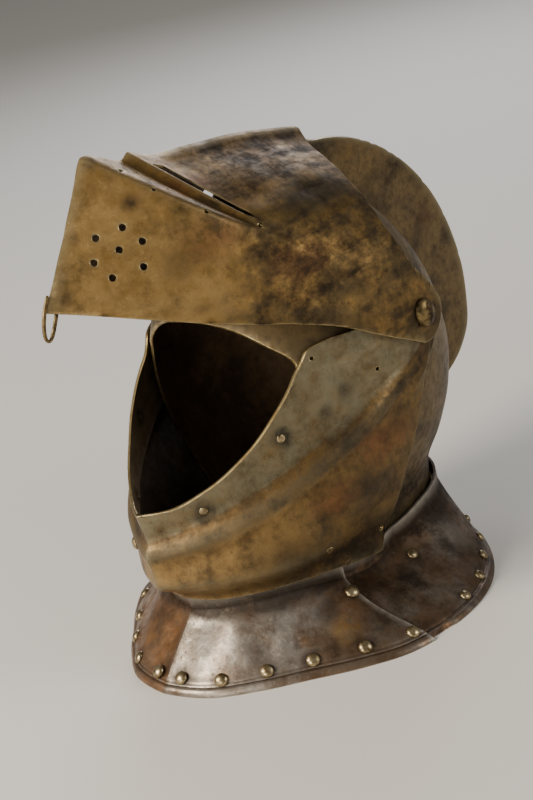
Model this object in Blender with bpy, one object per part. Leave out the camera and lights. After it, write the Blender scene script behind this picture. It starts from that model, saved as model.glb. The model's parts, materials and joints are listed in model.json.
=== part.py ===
"""Close helmet of a heavy cavalryman: skull with a high comb, pivoted visor and
pivoted bevor, two gorget plates.  Metres, +Z up, the front looks along -Y.

Skull, visor and bevor are sheets drawn in polar sections about the hinge line:
an angle is measured from straight ahead, upwards, and a reach is the distance
from the hinge line in the middle plane.  Each sheet is then trimmed to its
outline in side view.  The gorget plates are lofted from the neck to the rim.
"""
import math

import bmesh
import bpy
import numpy as np
from mathutils import Vector
from mathutils.bvhtree import BVHTree

# Overall sizes.
HINGE_HEIGHT = 0.1701          # hinge line above the surface it rests on
PLATE = 0.0019                 # skull, visor and bevor sheet
GORGET_PLATE = 0.0015          # gorget sheet
GAP = 0.0004                   # left between two parts that touch
FACET = 0.0006                 # more, where the facets of two curved sheets differ

# Skull: half axes of the bowl about its centre, which is behind the brow.
SKULL_HALF_WIDTH = 0.0845
SKULL_FRONT = 0.0850
SKULL_REAR = 0.1020
SKULL_TOP = 0.1140
SKULL_BOTTOM = 0.1050
SKULL_CENTRE = (-0.0180, -0.0340)
NECK_HALF_WIDTH = 0.0620
NECK_HALF_LENGTH = 0.0620
NECK_CENTRE_Y = -0.0140

# Comb: an arc in the middle plane, kept level over the brow.
COMB_CENTRE = (0.0200, -0.0350)
COMB_RADIUS = 0.1250
COMB_BROW_REACH = 0.0965
COMB_HALF_TOP = 0.0021
COMB_HALF_FOOT = 0.0062
COMB_FILLET = 0.0130
COMB_FADE = (204.0, 250.0)     # where it runs out down the nape, degrees
COMB_START = 24.0              # where it begins over the brow, degrees
COMB_SINK = 0.0006             # its fillet starts this deep in the bowl
COMB_CROWN = 0.0008            # rise of its edge in the middle
COMB_HOLLOW = 0.0120           # it is fully hollow where it stands this high

# Bevor and visor: half widths at the hinge line, each outside the plate before it.
BEVOR_STAND_OFF = 0.0075
VISOR_STAND_OFF = 0.0030
BEVOR_HALF_WIDTH = SKULL_HALF_WIDTH + BEVOR_STAND_OFF
VISOR_HALF_WIDTH = BEVOR_HALF_WIDTH + VISOR_STAND_OFF
RIDGE_ANGLE = -29.0            # row of the sections on the stop that the visor meets
RIDGE_RELIEF = 0.0026
RIDGE_DROP = 0.0200            # the stop passes this much below the hinge line
RIDGE_SLOPE = 0.39             # and falls this much for each length forward
TENT_HALF_WIDTH = 0.0042       # crest of the visor that passes over the comb
TENT_FLOW = 0.0090             # its sides flow out into the dome over this width

# Gorget plates, about an upright axis in front of the hinge line.
GORGET_AXIS_Y = -0.0550
RIM_ROLL = 0.0014              # the rolled edge stands this much proud

# Rivets.
RIVET_HEAD = 0.0034
RIVET_RISE = 0.0022
RIVET_SHANK = 0.0013
PIVOT_HEAD = 0.0085
PIVOT_RISE = 0.0046
PIVOT_SHANK = 0.0032
PIVOT_REACH = BEVOR_STAND_OFF + VISOR_STAND_OFF + 0.0075    # through all three plates
HOLE_RADIUS = 0.0019           # breath holes
RIVET_BEYOND = 0.0014          # a shank stands this much out of the plate's back
FRONT_BEYOND = 0.0003          # less on the front gorget plate, which lies on the rear one
RIVET_INSET = 2.4              # degrees that a rivet keeps from the end of the front plate
DRILL_LENGTH = 0.0160
BREATH_DRILL_LENGTH = 0.0120
SMOOTH_ANGLE = 32.0            # edges flatter than this look round, degrees
SIDES = 8
# The exact solver drops the skull, which is left whole by the other one.
SOLVER = {"skull": 'MANIFOLD'}

# Reach of the bevor in the middle plane: angle, reach, how far the fuller
# lower section has replaced the leaner upper one.
BEVOR_SECTIONS = (
    (14.0, 0.1270, 0.00),
    (4.0, 0.1290, 0.00),
    (-2.4, 0.1330, 0.00),
    (-7.0, 0.1460, 0.00),
    (-11.0, 0.1570, 0.00),
    (-15.0, 0.1665, 0.00),
    (-20.0, 0.1730, 0.00),
    (-24.0, 0.1765, 0.00),
    (-27.0, 0.1785, 0.05),
    (-29.0, 0.1840, 0.70),
    (-31.0, 0.1885, 1.00),
    (-34.0, 0.1960, 1.00),
    (-38.0, 0.2070, 1.00),
    (-42.0, 0.2190, 1.00),
    (-46.0, 0.2245, 1.00),
    (-50.0, 0.2210, 1.00),
    (-56.0, 0.2120, 1.00),
    (-64.0, 0.2090, 1.00),
    (-72.0, 0.2060, 1.00),
    (-84.0, 0.1980, 1.00),
    (-104.0, 0.1750, 1.00),
    (-160.0, 0.1500, 1.00),
    (-250.0, 0.1300, 0.60),
    (-346.0, 0.1270, 0.00),
)

# Reach of the visor in the middle plane: angle, reach, share of the keeled prow
# section against the domed one, height of the crest over the dome.
VISOR_SECTIONS = (
    (-60.0, 0.1600, 0.30, 0.0),
    (0.0, 0.1940, 1.00, 0.0),
    (20.5, 0.1944, 1.00, 0.0),
    (27.0, 0.1901, 1.00, 0.0),
    (35.0, 0.1882, 1.00, 0.0),
    (41.0, 0.1892, 1.00, 0.0),
    (45.6, 0.1915, 1.00, 0.0),
    (46.4, 0.1895, 1.00, 0.0),
    (49.8, 0.1662, 0.96, 0.0),
    (50.3, 0.1650, 0.94, 0.0),
    (51.9, 0.1645, 0.88, 0.0),
    (52.4, 0.1628, 0.84, 0.0),
    (54.0, 0.1530, 0.70, 0.0012),
    (57.0, 0.1412, 0.52, 0.0036),
    (63.0, 0.1270, 0.34, 0.0070),
    (73.0, 0.1110, 0.15, 0.0100),
    (84.0, 0.1010, 0.04, 0.0110),
    (95.0, 0.0950, 0.00, 0.0115),
    (107.0, 0.0925, 0.00, 0.0125),
    (128.0, 0.0925, 0.00, 0.0125),
    (200.0, 0.1200, 0.00, 0.0),
    (300.0, 0.1600, 0.30, 0.0),
)

# Reach of the visor's sides, where the ledge and lip of the sights have run out.
VISOR_SIDES = (
    (27.0, 0.1901),
    (35.0, 0.1872),
    (41.0, 0.1835),
    (46.0, 0.1780),
    (50.0, 0.1705),
    (54.0, 0.1605),
    (58.0, 0.1480),
    (63.0, 0.1325),
    (68.0, 0.1205),
    (73.0, 0.1110),
)
SIDE_SHARES = (0.46, 0.64)     # the sights run out between these shares of the width
LEDGE_ANGLES = (45.6, 57.0)    # between them the ledge and lip of the sights lie
SIGHT_DROOP = (3.0, 4.0)       # drop toward the sides: the ledge, and the slit past it
SLIT_ANGLES = (52.6, 53.9)
SLIT_SHARES = (0.115, 0.28, 0.44, 0.58)

# Side views: y and z from the hinge line, in shares of HINGE_HEIGHT.
SKULL_OUTLINE = (
    (-0.70, 0.26), (-0.565, 0.168), (-0.525, 0.140), (-0.470, 0.052), (-0.428, -0.019),
    (-0.425, -0.060), (-0.414, -0.155), (-0.396, -0.288), (-0.374, -0.430),
    (-0.374, -0.829), (0.34, -0.7525), (1.10, -0.690), (1.10, 0.90), (-0.70, 0.90),
)
BEVOR_OUTLINE = (
    (-0.270, 0.034), (-0.350, 0.034), (-0.398, 0.022), (-0.431, -0.018), (-0.475, -0.062),
    (-0.560, -0.140), (-0.682, -0.247), (-0.805, -0.331), (-0.880, -0.366),
    (-0.950, -0.372), (-1.250, -0.372), (-1.250, -0.744), (-0.520, -0.744),
    (-0.284, -0.776), (-0.226, -0.645), (-0.146, -0.474), (-0.070, -0.330),
    (-0.012, -0.205), (0.052, -0.120), (0.100, -0.030), (0.096, 0.040), (0.055, 0.086),
    (0.000, 0.100), (-0.060, 0.082), (-0.120, 0.048),
)
VISOR_OUTLINE = (
    (-0.062, -0.078), (-0.215, 0.010), (-0.310, 0.070), (-0.445, 0.133), (-0.640, 0.206),
    (-1.070, 0.397), (-1.300, 0.485), (-1.300, 1.000), (0.164, 1.000), (0.164, 0.620),
    (0.138, 0.560), (0.086, 0.520), (0.030, 0.455), (0.004, 0.350), (0.004, 0.250),
    (0.024, 0.160), (0.072, 0.082), (0.104, 0.010), (0.092, -0.052), (0.050, -0.096),
    (0.000, -0.108),
)

# Gorget plan: angle from the front, reach of the rim and of the neck crease from
# the gorget axis, height of the crease, all as shares of RIM_REACH.
RIM_REACH = 0.1215
GORGET_PLAN = (
    (0.0, 1.000, 0.712, 0.296),
    (14.0, 0.978, 0.690, 0.312),
    (30.0, 0.914, 0.640, 0.326),
    (45.0, 0.881, 0.592, 0.322),
    (60.0, 0.908, 0.560, 0.300),
    (75.0, 0.958, 0.541, 0.268),
    (90.0, 0.972, 0.541, 0.256),
    (110.0, 0.985, 0.575, 0.290),
    (130.0, 0.972, 0.668, 0.338),
    (155.0, 0.956, 0.806, 0.345),
    (180.0, 0.952, 0.865, 0.340),
)
# Flare of the gorget from the crease to the rim: share of the height, share of
# the way out.
FLARE = (
    (1.00, 0.000),
    (0.82, 0.215),
    (0.62, 0.450),
    (0.42, 0.665),
    (0.24, 0.845),
    (0.10, 0.960),
    (0.00, 1.000),
)
FRONT_END = 71.0               # where the front gorget plate ends at the neck, degrees
SEAM_LEAN = 11.0               # how much further back it ends at the rim
SEAM_LAP = 10.0                # the rear plate begins this much under it
ROLL_LEVEL = 0.115             # the rolled edge ends at this share of the height

# Rivets of the gorget plates: angle, share of the height, head size share.
FRONT_RIVETS = (
    (4.8, 0.23, 1.0),
    (18.0, 0.21, 1.0),
    (31.6, 0.22, 1.0),
    (46.2, 0.225, 1.0),
    (63.0, 0.235, 1.0),
    (78.4, 0.22, 1.0),
    (69.5, 0.845, 1.15),
)
REAR_RIVETS = (
    (102.7, 0.216, 0.85),
    (114.5, 0.210, 0.85),
    (126.0, 0.220, 0.85),
    (138.0, 0.230, 0.85),
    (152.0, 0.240, 0.85),
    (168.0, 0.250, 0.85),
    (107.6, 0.835, 0.85),
)
# Flush rivets of the bevor: angle, share of the half width, head size share.
BEVOR_RIVETS = (
    (-18.7, 0.661, 0.75),
    (-25.3, 0.317, 0.75),
    (-46.2, 0.758, 0.75),
)
FLUSH = 0.25                   # rise of a flush rivet, as a share of a domed one's
# The bevor's foot is drawn in to the neck between these depths below the hinge
# line, in shares of HINGE_HEIGHT, and fades out between these angles of the plan.
TUCK_DEPTHS = (0.640, 0.728)
TUCK_ANGLES = (130.0, 108.0)
# Stud on the bevor: angle, share of the half width.
STUD_ANGLE = -33.5
STUD_SHARE = 0.40
# Lifting loop: wire radius, and its path behind and above the foot of the prow.
LOOP_WIRE = 0.00125
LOOP_PATH = (
    (0.0037, 0.0085), (-0.0016, 0.0008), (-0.0046, -0.0065), (-0.0058, -0.0125),
    (-0.0042, -0.0155), (-0.0012, -0.0145), (0.0036, -0.0070), (0.0074, -0.0005),
    (0.0094, 0.0050),
)
# Breath holes of the visor, near the front corner of each side: angle, share
# of the half width.
BREATH_HOLES = (
    (37.0, 0.209), (33.8, 0.121), (35.4, 0.289), (32.6, 0.214), (29.4, 0.134),
    (30.2, 0.312), (27.1, 0.211),
)

STEEL = {
    "skull_steel": ((0.205, 0.175, 0.140), 0.42),
    "visor_bronzed_steel": ((0.330, 0.240, 0.130), 0.40),
    "bevor_steel": ((0.240, 0.205, 0.140), 0.42),
    "gorget_steel": ((0.270, 0.245, 0.225), 0.38),
    "rivet_brass": ((0.560, 0.470, 0.310), 0.34),
    "pivot_steel": ((0.330, 0.300, 0.260), 0.40),
}


def table(rows, key, column):
    """Value of a column at a key, on a smooth curve through the rows."""
    keys = [row[0] for row in rows]
    values = [row[column] for row in rows]
    if keys[0] > keys[-1]:
        keys.reverse()
        values.reverse()
    if key <= keys[0]:
        return values[0]
    if key >= keys[-1]:
        return values[-1]
    i = max(j for j in range(len(keys) - 1) if keys[j] <= key)
    step = [(values[j + 1] - values[j]) / (keys[j + 1] - keys[j]) for j in range(len(keys) - 1)]

    def slope(j):
        if j == 0 or j == len(step):
            return step[0] if j == 0 else step[-1]
        if step[j - 1] * step[j] <= 0.0:
            return 0.0
        return 2.0 * step[j - 1] * step[j] / (step[j - 1] + step[j])

    width = keys[i + 1] - keys[i]
    t = (key - keys[i]) / width
    return ((1 + 2 * t) * (1 - t) ** 2 * values[i]
            + t * (1 - t) ** 2 * width * slope(i)
            + t * t * (3 - 2 * t) * values[i + 1]
            + t * t * (t - 1) * width * slope(i + 1))


def smooth(low, high, value):
    """0 below low, 1 above high, a soft step between."""
    t = min(1.0, max(0.0, (value - low) / (high - low)))
    return t * t * (3 - 2 * t)


def polar(x, reach, angle):
    """Point at a distance from the hinge line, at an angle from straight ahead."""
    turn = math.radians(angle)
    return Vector((x, -reach * math.cos(turn), reach * math.sin(turn)))


def bowl_reach(direction):
    """Distance from the middle of the hinge line to the skull, neck included."""
    x, y, z = direction
    front = SKULL_CENTRE[0]
    high = SKULL_CENTRE[1]

    def outside(r):
        dy = r * y - front
        dz = r * z - high
        length = SKULL_FRONT if dy < 0 else SKULL_REAR
        height = SKULL_TOP if dz > 0 else SKULL_BOTTOM
        bowl = (r * x / SKULL_HALF_WIDTH) ** 2 + (dy / length) ** 2 + (dz / height) ** 2
        neck = (r * x / NECK_HALF_WIDTH) ** 2 + ((r * y - NECK_CENTRE_Y) / NECK_HALF_LENGTH) ** 2
        if r * z > high:
            return bowl > 1.0
        return bowl > 1.0 and neck > 1.0

    low, top = 0.5 * NECK_HALF_WIDTH, 4.0 * SKULL_REAR
    for _ in range(26):
        middle = 0.5 * (low + top)
        if outside(middle):
            top = middle
        else:
            low = middle
    return low


def comb_reach(angle):
    """Distance from the hinge line to the comb's edge in the middle plane."""
    turn = math.radians(angle)
    y, z = -math.cos(turn), math.sin(turn)
    along = y * COMB_CENTRE[0] + z * COMB_CENTRE[1]
    off = COMB_CENTRE[0] ** 2 + COMB_CENTRE[1] ** 2 - along ** 2
    arc = along + math.sqrt(COMB_RADIUS ** 2 - off)
    if angle < 150.0:
        arc = max(arc, COMB_BROW_REACH)
    return arc


def comb_height(angle):
    """How far the comb stands over the skull at an angle."""
    turn = math.radians(angle)
    bare = bowl_reach((0.0, -math.cos(turn), math.sin(turn)))
    rise = max(0.0, comb_reach(angle) - bare)
    rise *= 1.0 - smooth(COMB_FADE[0], COMB_FADE[1], angle)
    return rise * smooth(COMB_START - 8.0, COMB_START + 10.0, angle)


def normals(points):
    """Outward unit normals of a closed grid whose first and last columns are poles."""
    rows, columns = points.shape[:2]
    out = np.zeros_like(points)
    for i in range(rows):
        before = points[i - 1]
        after = points[(i + 1) % rows]
        for j in range(columns):
            left = points[i][max(0, j - 1)]
            right = points[i][min(columns - 1, j + 1)]
            normal = np.cross(right - left, after[j] - before[j])
            size = np.linalg.norm(normal)
            if j in (0, columns - 1) or size < 1e-12:
                normal, size = np.array((points[i][j][0], 0.0, 0.0)), abs(points[i][j][0])
            normal = normal / size
            if normal @ points[i][j] < 0.0:
                normal = -normal
            out[i][j] = normal
    return out


def mesh_object(name, vertices, faces, material=None):
    """A new object from vertices and faces, which look outward; no material makes a cutter."""
    mesh = bpy.data.meshes.new(name)
    mesh.from_pydata([tuple(v) for v in vertices], [], faces)
    shape = bmesh.new()
    shape.from_mesh(mesh)
    bmesh.ops.remove_doubles(shape, verts=shape.verts, dist=1e-6)
    bmesh.ops.dissolve_degenerate(shape, edges=shape.edges, dist=1e-6)
    quads = [face for face in shape.faces if len(face.verts) == 4]
    bmesh.ops.triangulate(shape, faces=quads, quad_method='SHORT_EDGE')
    bmesh.ops.recalc_face_normals(shape, faces=shape.faces)
    shape.to_mesh(mesh)
    shape.free()
    item = bpy.data.objects.new(name, mesh)
    bpy.context.collection.objects.link(item)
    if material:
        mesh.materials.append(material)
    else:
        item.hide_render = True
        item.display_type = 'WIRE'
    return item


def skin(name, points, material=None):
    """A closed body round a grid whose rows close up and whose columns end in poles."""
    rows, columns = points.shape[:2]
    faces = []
    for i in range(rows):
        k = (i + 1) % rows
        for j in range(columns - 1):
            faces.append([i * columns + j, i * columns + j + 1,
                          k * columns + j + 1, k * columns + j])
    return mesh_object(name, points.reshape(-1, 3), faces, material)


def trimmed_sheet(name, grids, outline, material):
    """A sheet: the outer body, hollowed by the inner one, trimmed to its side outline."""
    item = skin(name, grids[0], material)
    cut(item, skin(name + "_hollow", grids[1]))
    cut(item, profile_cutter(name + "_outline", outline), 'INTERSECT')
    return item


def strip(name, outer, inner, material):
    """A wall between two open grids of points, one body."""
    rows, columns = outer.shape[:2]
    vertices = list(outer.reshape(-1, 3)) + list(inner.reshape(-1, 3))
    shift = rows * columns
    faces = []
    for i in range(rows - 1):
        for j in range(columns - 1):
            quad = [i * columns + j, i * columns + j + 1,
                    (i + 1) * columns + j + 1, (i + 1) * columns + j]
            faces.append(quad)
            faces.append([shift + index for index in quad])
    border = ([j for j in range(columns)]
              + [i * columns + columns - 1 for i in range(1, rows)]
              + [(rows - 1) * columns + j for j in range(columns - 2, -1, -1)]
              + [i * columns for i in range(rows - 2, 0, -1)])
    for a, b in zip(border, border[1:] + border[:1]):
        faces.append([a, b, shift + b, shift + a])
    return mesh_object(name, vertices, faces, material)


def profile_cutter(name, outline):
    """A body across the whole helmet with a side outline in shares of HINGE_HEIGHT."""
    half = 1.5 * VISOR_HALF_WIDTH
    count = len(outline)
    vertices = [Vector((side * half, y * HINGE_HEIGHT, z * HINGE_HEIGHT))
                for side in (-1, 1) for y, z in outline]
    faces = [list(range(count)), list(range(count, 2 * count))]
    for i in range(count):
        k = (i + 1) % count
        faces.append([i, k, count + k, count + i])
    return mesh_object(name, vertices, faces)


def pin_cutter(name, place, axis, radius, length, sides=SIDES):
    """A round body along an axis, centred on a place."""
    turn = axis.to_track_quat('Z', 'Y').to_matrix()
    ring = [Vector((radius * math.cos(2 * math.pi * i / sides),
                    radius * math.sin(2 * math.pi * i / sides), 0.0)) for i in range(sides)]
    vertices = [place + turn @ (p + Vector((0, 0, side * 0.5 * length)))
                for side in (-1, 1) for p in ring]
    faces = [list(range(sides)), list(range(sides, 2 * sides))]
    for i in range(sides):
        k = (i + 1) % sides
        faces.append([i, k, sides + k, sides + i])
    return mesh_object(name, vertices, faces)


def slit_cutter(name, place):
    """A curved bar that cuts one sight slit behind the lip."""
    vertices = []
    for share in SLIT_SHARES:
        for angle, scale in ((0, 0.88), (0, 1.12), (1, 1.12), (1, 0.88)):
            point = visor_point(share, SLIT_ANGLES[angle])
            vertices.append(place(Vector((point.x, point.y * scale, point.z * scale))))
    last = 4 * (len(SLIT_SHARES) - 1)
    faces = [[0, 1, 2, 3], [last, last + 1, last + 2, last + 3]]
    for row in range(0, last, 4):
        for i in range(4):
            k = (i + 1) % 4
            faces.append([row + i, row + k, row + 4 + k, row + 4 + i])
    return mesh_object(name, vertices, faces)


def cut(item, cutter, operation='DIFFERENCE'):
    """Apply one boolean and leave the cutter in the file, out of the render."""
    modifier = item.modifiers.new(operation.lower(), 'BOOLEAN')
    modifier.operation = operation
    modifier.solver = SOLVER.get(item.name, 'EXACT')
    modifier.object = cutter


def bake(item):
    """Replace the mesh by the result of its modifiers."""
    graph = bpy.context.evaluated_depsgraph_get()
    mesh = bpy.data.meshes.new_from_object(item.evaluated_get(graph))
    item.modifiers.clear()
    old = item.data
    item.data = mesh
    bpy.data.meshes.remove(old)
    shape = bmesh.new()
    shape.from_mesh(mesh)
    bmesh.ops.remove_doubles(shape, verts=shape.verts, dist=2e-6)
    bmesh.ops.dissolve_degenerate(shape, edges=shape.edges, dist=2e-6)
    bmesh.ops.triangulate(shape, faces=[f for f in shape.faces if len(f.verts) > 4])
    bmesh.ops.recalc_face_normals(shape, faces=shape.faces)
    shape.to_mesh(mesh)
    shape.free()
    return item


def shade(item, angle):
    """Round parts look round, edges stay crisp."""
    mesh = item.data
    for polygon in mesh.polygons:
        polygon.use_smooth = True
    shape = bmesh.new()
    shape.from_mesh(mesh)
    for edge in shape.edges:
        flat = len(edge.link_faces) == 2 and edge.calc_face_angle(0.0) < math.radians(angle)
        edge.smooth = flat
    shape.to_mesh(mesh)
    shape.free()


def steel(name):
    """A metal with the colour and roughness listed above."""
    colour, roughness = STEEL[name]
    material = bpy.data.materials.new(name)
    material.use_nodes = True
    shader = material.node_tree.nodes["Principled BSDF"]
    shader.inputs["Base Color"].default_value = (*colour, 1.0)
    shader.inputs["Metallic"].default_value = 1.0
    shader.inputs["Roughness"].default_value = roughness
    return material


def skull_point(tilt, angle):
    """Outer skull point: tilt from the hinge line, angle about it."""
    turn = math.radians(angle)
    lean = math.radians(tilt)
    direction = Vector((math.cos(lean), -math.sin(lean) * math.cos(turn),
                        math.sin(lean) * math.sin(turn)))
    return direction * bowl_reach(direction)


def skull_grids():
    """Outer and inner grids of the skull with its hollow comb."""
    tilts = [0.0, 12.0, 25.0, 38.0, 50.0, 61.0, 71.0, 79.5]
    angles = [10.0 * i for i in range(24)] + [237.0, 243.0, 248.0, 254.0, 262.0, 271.0,
                                              280.0, 290.0, 300.0, 315.0, 330.0, 345.0]
    outer, inner = [], []
    for angle in angles:
        height = comb_height(angle)
        bare = skull_point(90.0, angle).length
        half = [skull_point(tilt, angle) for tilt in tilts]
        deep = [p * (1.0 - PLATE / p.length) for p in half]
        foot = bare + 0.10 * height
        crest = bare + height
        # Three stations shape the comb: fillet, foot and crest.
        stations = ((COMB_FILLET, bare - COMB_SINK), (COMB_HALF_FOOT, foot),
                    (COMB_HALF_TOP, crest))
        wall = min(1.0, height / COMB_HOLLOW)
        for x, reach in stations:
            half.append(polar(x, reach, angle))
        half.append(polar(0.0, crest + COMB_CROWN * wall, angle))
        thin = PLATE * (1.0 - 0.30 * wall)
        lower = (1.0 + 1.2 * wall) * PLATE
        deep.append(polar(COMB_FILLET, bare - PLATE - COMB_SINK, angle))
        deep.append(polar(COMB_HALF_FOOT - thin * wall, foot - PLATE, angle))
        deep.append(polar(COMB_HALF_TOP * (1.0 - 0.72 * wall), crest - lower, angle))
        deep.append(polar(0.0, crest - lower, angle))
        for store, side in ((outer, half), (inner, deep)):
            mirrored = [Vector((-p.x, p.y, p.z)) for p in reversed(side[:-1])]
            store.append([tuple(p) for p in side + mirrored])
    return np.array(outer), np.array(inner)


def bevor_section(share, lower):
    """Reach share of the bevor at a share of its half width."""
    lean = (1.0 - 0.46 * share - 0.54 * share ** 2) ** 0.64
    full = (1.0 - 0.50 * share - 0.50 * share ** 3) ** 0.50
    return lean + (full - lean) * lower * (1.0 - 0.6 * smooth(0.93, 1.0, share))


def ridge_turn(share):
    """How far the stop turns down at a share, from where it crosses the middle plane."""
    tilt = math.atan(RIDGE_SLOPE)
    middle = table(BEVOR_SECTIONS, RIDGE_ANGLE, 1)
    angles = []
    for reach in (middle, max(RIDGE_DROP, middle * bevor_section(share, 0.3))):
        angles.append(math.asin(-RIDGE_DROP * math.cos(tilt) / reach) - tilt)
    return math.degrees(angles[1] - angles[0])


def gorget_plan(angle, column):
    """A column of the gorget plan as a length; the neck clears the skull's."""
    value = table(GORGET_PLAN, angle, column) * RIM_REACH
    if column != 2:
        return value
    wall = 2.0 * (GORGET_PLATE + GAP) + 4.0 * FACET
    half = NECK_HALF_WIDTH + wall
    length = NECK_HALF_LENGTH + wall
    turn = math.radians(angle)
    across, back = math.sin(turn), -math.cos(turn)
    behind = GORGET_AXIS_Y - NECK_CENTRE_Y
    square = (across / half) ** 2 + (back / length) ** 2
    line = back * behind / length ** 2
    room = line ** 2 - square * ((behind / length) ** 2 - 1.0)
    if room <= 0.0:
        return value
    return max(value, (math.sqrt(room) - line) / square)


def bevor_point(share, angle):
    """Outer bevor point at a share of the half width, tucked in under the chin."""
    reach = table(BEVOR_SECTIONS, angle, 1)
    lower = table(BEVOR_SECTIONS, angle, 2)
    across = reach * bevor_section(share, lower)
    along = smooth(16.0, RIDGE_ANGLE, angle) * smooth(-200.0, RIDGE_ANGLE, angle)
    turned = angle + ridge_turn(share) * along
    point = polar(share * BEVOR_HALF_WIDTH, across, turned)
    ridge = RIDGE_RELIEF * math.exp(-((angle - RIDGE_ANGLE) / 1.7) ** 2)
    ridge *= smooth(0.12, 0.35, across / reach)
    outward = Vector((share, -math.cos(math.radians(turned)) * (1 - share), 0.0)).normalized()
    point += outward * ridge
    turn = math.degrees(math.atan2(point.x, -(point.y - GORGET_AXIS_Y)))
    out = math.hypot(point.x, point.y - GORGET_AXIS_Y)
    neck = gorget_plan(turn, 2) + GAP + PLATE + 2.0 * FACET
    tuck = smooth(*TUCK_DEPTHS, -point.z / HINGE_HEIGHT) * smooth(*TUCK_ANGLES, turn)
    scale = 1.0 - tuck * (1.0 - neck / out)
    point.x *= scale
    point.y = GORGET_AXIS_Y + (point.y - GORGET_AXIS_Y) * scale
    return point


def bevor_grids():
    shares = [0.0, 0.06, 0.15, 0.27, 0.40, 0.53, 0.66, 0.77, 0.87, 0.945, 0.988, 1.0]
    angles = [14.0, 4.0, -3.0, -9.0, -15.0, -20.0, -24.5, -27.3, -29.0, -30.7, -33.0, -35.5,
              -38.0, -41.0, -44.5, -49.0, -54.0, -60.0, -67.0, -76.0, -88.0, -104.0,
              -135.0, -180.0, -230.0, -285.0, -320.0]
    outer = pole_rows(bevor_point, shares, angles)
    return outer, outer - normals(outer) * PLATE


def visor_section(share, prow):
    """Reach share of the visor at a share of its half width."""
    keeled = (1.0 - 0.83 * share - 0.17 * share ** 4) ** 0.66
    domed = (1.0 - share ** 2) ** 0.50
    return domed + (keeled - domed) * prow


def sight_dip(share, angle):
    """How far the sights droop toward the sides, in degrees."""
    droop = SIGHT_DROOP[0] + SIGHT_DROOP[1] * smooth(46.0, 53.0, angle)
    return share * droop * smooth(22.0, 42.0, angle) * smooth(84.0, 57.0, angle)


def visor_point(share, angle, depth=0.0):
    """Visor point at a depth; the ledge under the sights runs out toward the sides."""
    reach = table(VISOR_SECTIONS, angle, 1)
    prow = table(VISOR_SECTIONS, angle, 2)
    crest = table(VISOR_SECTIONS, angle, 3)
    low, high = LEDGE_ANGLES
    if VISOR_SIDES[0][0] < angle < VISOR_SIDES[-1][0]:
        reach += (table(VISOR_SIDES, angle, 1) - reach) * smooth(*SIDE_SHARES, share)
    x = share * (VISOR_HALF_WIDTH - depth)
    side = math.exp(-max(0.0, x - TENT_HALF_WIDTH) / TENT_FLOW)
    steep = smooth(low, low + 4.0, angle) * smooth(high + 2.0, high - 2.0, angle)
    across = (reach - depth * (1.0 + 0.9 * steep)) * visor_section(share, prow)
    return polar(x, across + crest * side, angle - sight_dip(share, angle))


def visor_grids():
    shares = [0.0, TENT_HALF_WIDTH / VISOR_HALF_WIDTH,
              (TENT_HALF_WIDTH + 0.65 * TENT_FLOW) / VISOR_HALF_WIDTH,
              0.20, 0.31, 0.43, 0.55, 0.67, 0.78, 0.87, 0.94, 0.985, 1.0]
    angles = [-60.0, -25.0, 0.0, 20.5, 27.0, 35.0, 41.0, 45.6, 46.4, 49.8, 50.3, 51.9, 52.4,
              54.0, 57.0, 63.0, 73.0, 84.0, 95.0, 107.0, 126.0, 160.0, 200.0, 250.0]
    outer = pole_rows(visor_point, shares, angles)
    few = [angle for angle in angles if angle not in (27.0, 41.0, 50.3, 51.9)]
    return outer, pole_rows(lambda share, angle: visor_point(share, angle, PLATE), shares, few)


def pole_rows(point, shares, angles):
    """A grid that closes in a pole on each side, a row for each angle."""
    rows = []
    for angle in angles:
        half = [point(share, angle) for share in shares]
        left = [Vector((-p.x, p.y, p.z)) for p in reversed(half)]
        rows.append([tuple(p) for p in left + half[1:]])
    return np.array(rows)


def gorget_point(angle, level, extra=0.0):
    """Point of the gorget surface; level 1 is the crease, 0 the rim, above 1 the collar."""
    crease = gorget_plan(angle, 3)
    neck = gorget_plan(angle, 2)
    rim = gorget_plan(angle, 1)
    if level > 1.0:
        reach = neck
        height = crease + (level - 1.0) * RIM_REACH
    else:
        reach = neck + (rim - neck) * table(FLARE, level, 1)
        height = crease * level
    turn = math.radians(angle)
    reach += extra
    return Vector((reach * math.sin(turn), GORGET_AXIS_Y - reach * math.cos(turn),
                   height - HINGE_HEIGHT))


def gorget_normal(angle, level):
    """Outward normal of the gorget surface."""
    step = 0.02
    along = gorget_point(angle + 1.0, level) - gorget_point(angle - 1.0, level)
    down = gorget_point(angle, max(0.0, level - step)) - gorget_point(angle, level + step)
    normal = along.cross(down).normalized()
    turn = math.radians(angle)
    if normal.dot(Vector((math.sin(turn), -math.cos(turn), 0.3))) < 0.0:
        normal = -normal
    return normal


def slanted(angle, level):
    """Angle of a column of the gorget at a level: its seam leans back toward the rim."""
    lean = smooth(1.0, 0.0, level) if level < 1.0 else 0.0
    near = smooth(0.0, FRONT_END, angle) * smooth(FRONT_END + 60.0, FRONT_END + 10.0, angle)
    return angle + SEAM_LEAN * lean * near


def gorget_grids(angles, levels, base, roll_start):
    """Outer and inner grids; base lifts the sheet off the shared gorget surface."""
    outer, inner = [], []
    for level in levels:
        row_out, row_in = [], []
        for angle in angles:
            turned = slanted(abs(angle), level)
            rolled = level <= ROLL_LEVEL and abs(angle) >= roll_start
            flat = math.radians(turned)
            upright = Vector((math.sin(flat), -math.cos(flat), 0.0))
            if level > ROLL_LEVEL + 0.01:
                upright = gorget_normal(turned, level)
            centre = gorget_point(turned, level)
            top = centre + upright * (base + (RIM_ROLL if rolled else 0.0))
            low = centre + upright * (base - GORGET_PLATE)
            sign = 1.0 if angle >= 0 else -1.0
            row_out.append((sign * top.x, top.y, top.z))
            row_in.append((sign * low.x, low.y, low.z))
        outer.append(row_out)
        inner.append(row_in)
    return np.array(outer), np.array(inner)


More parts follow.
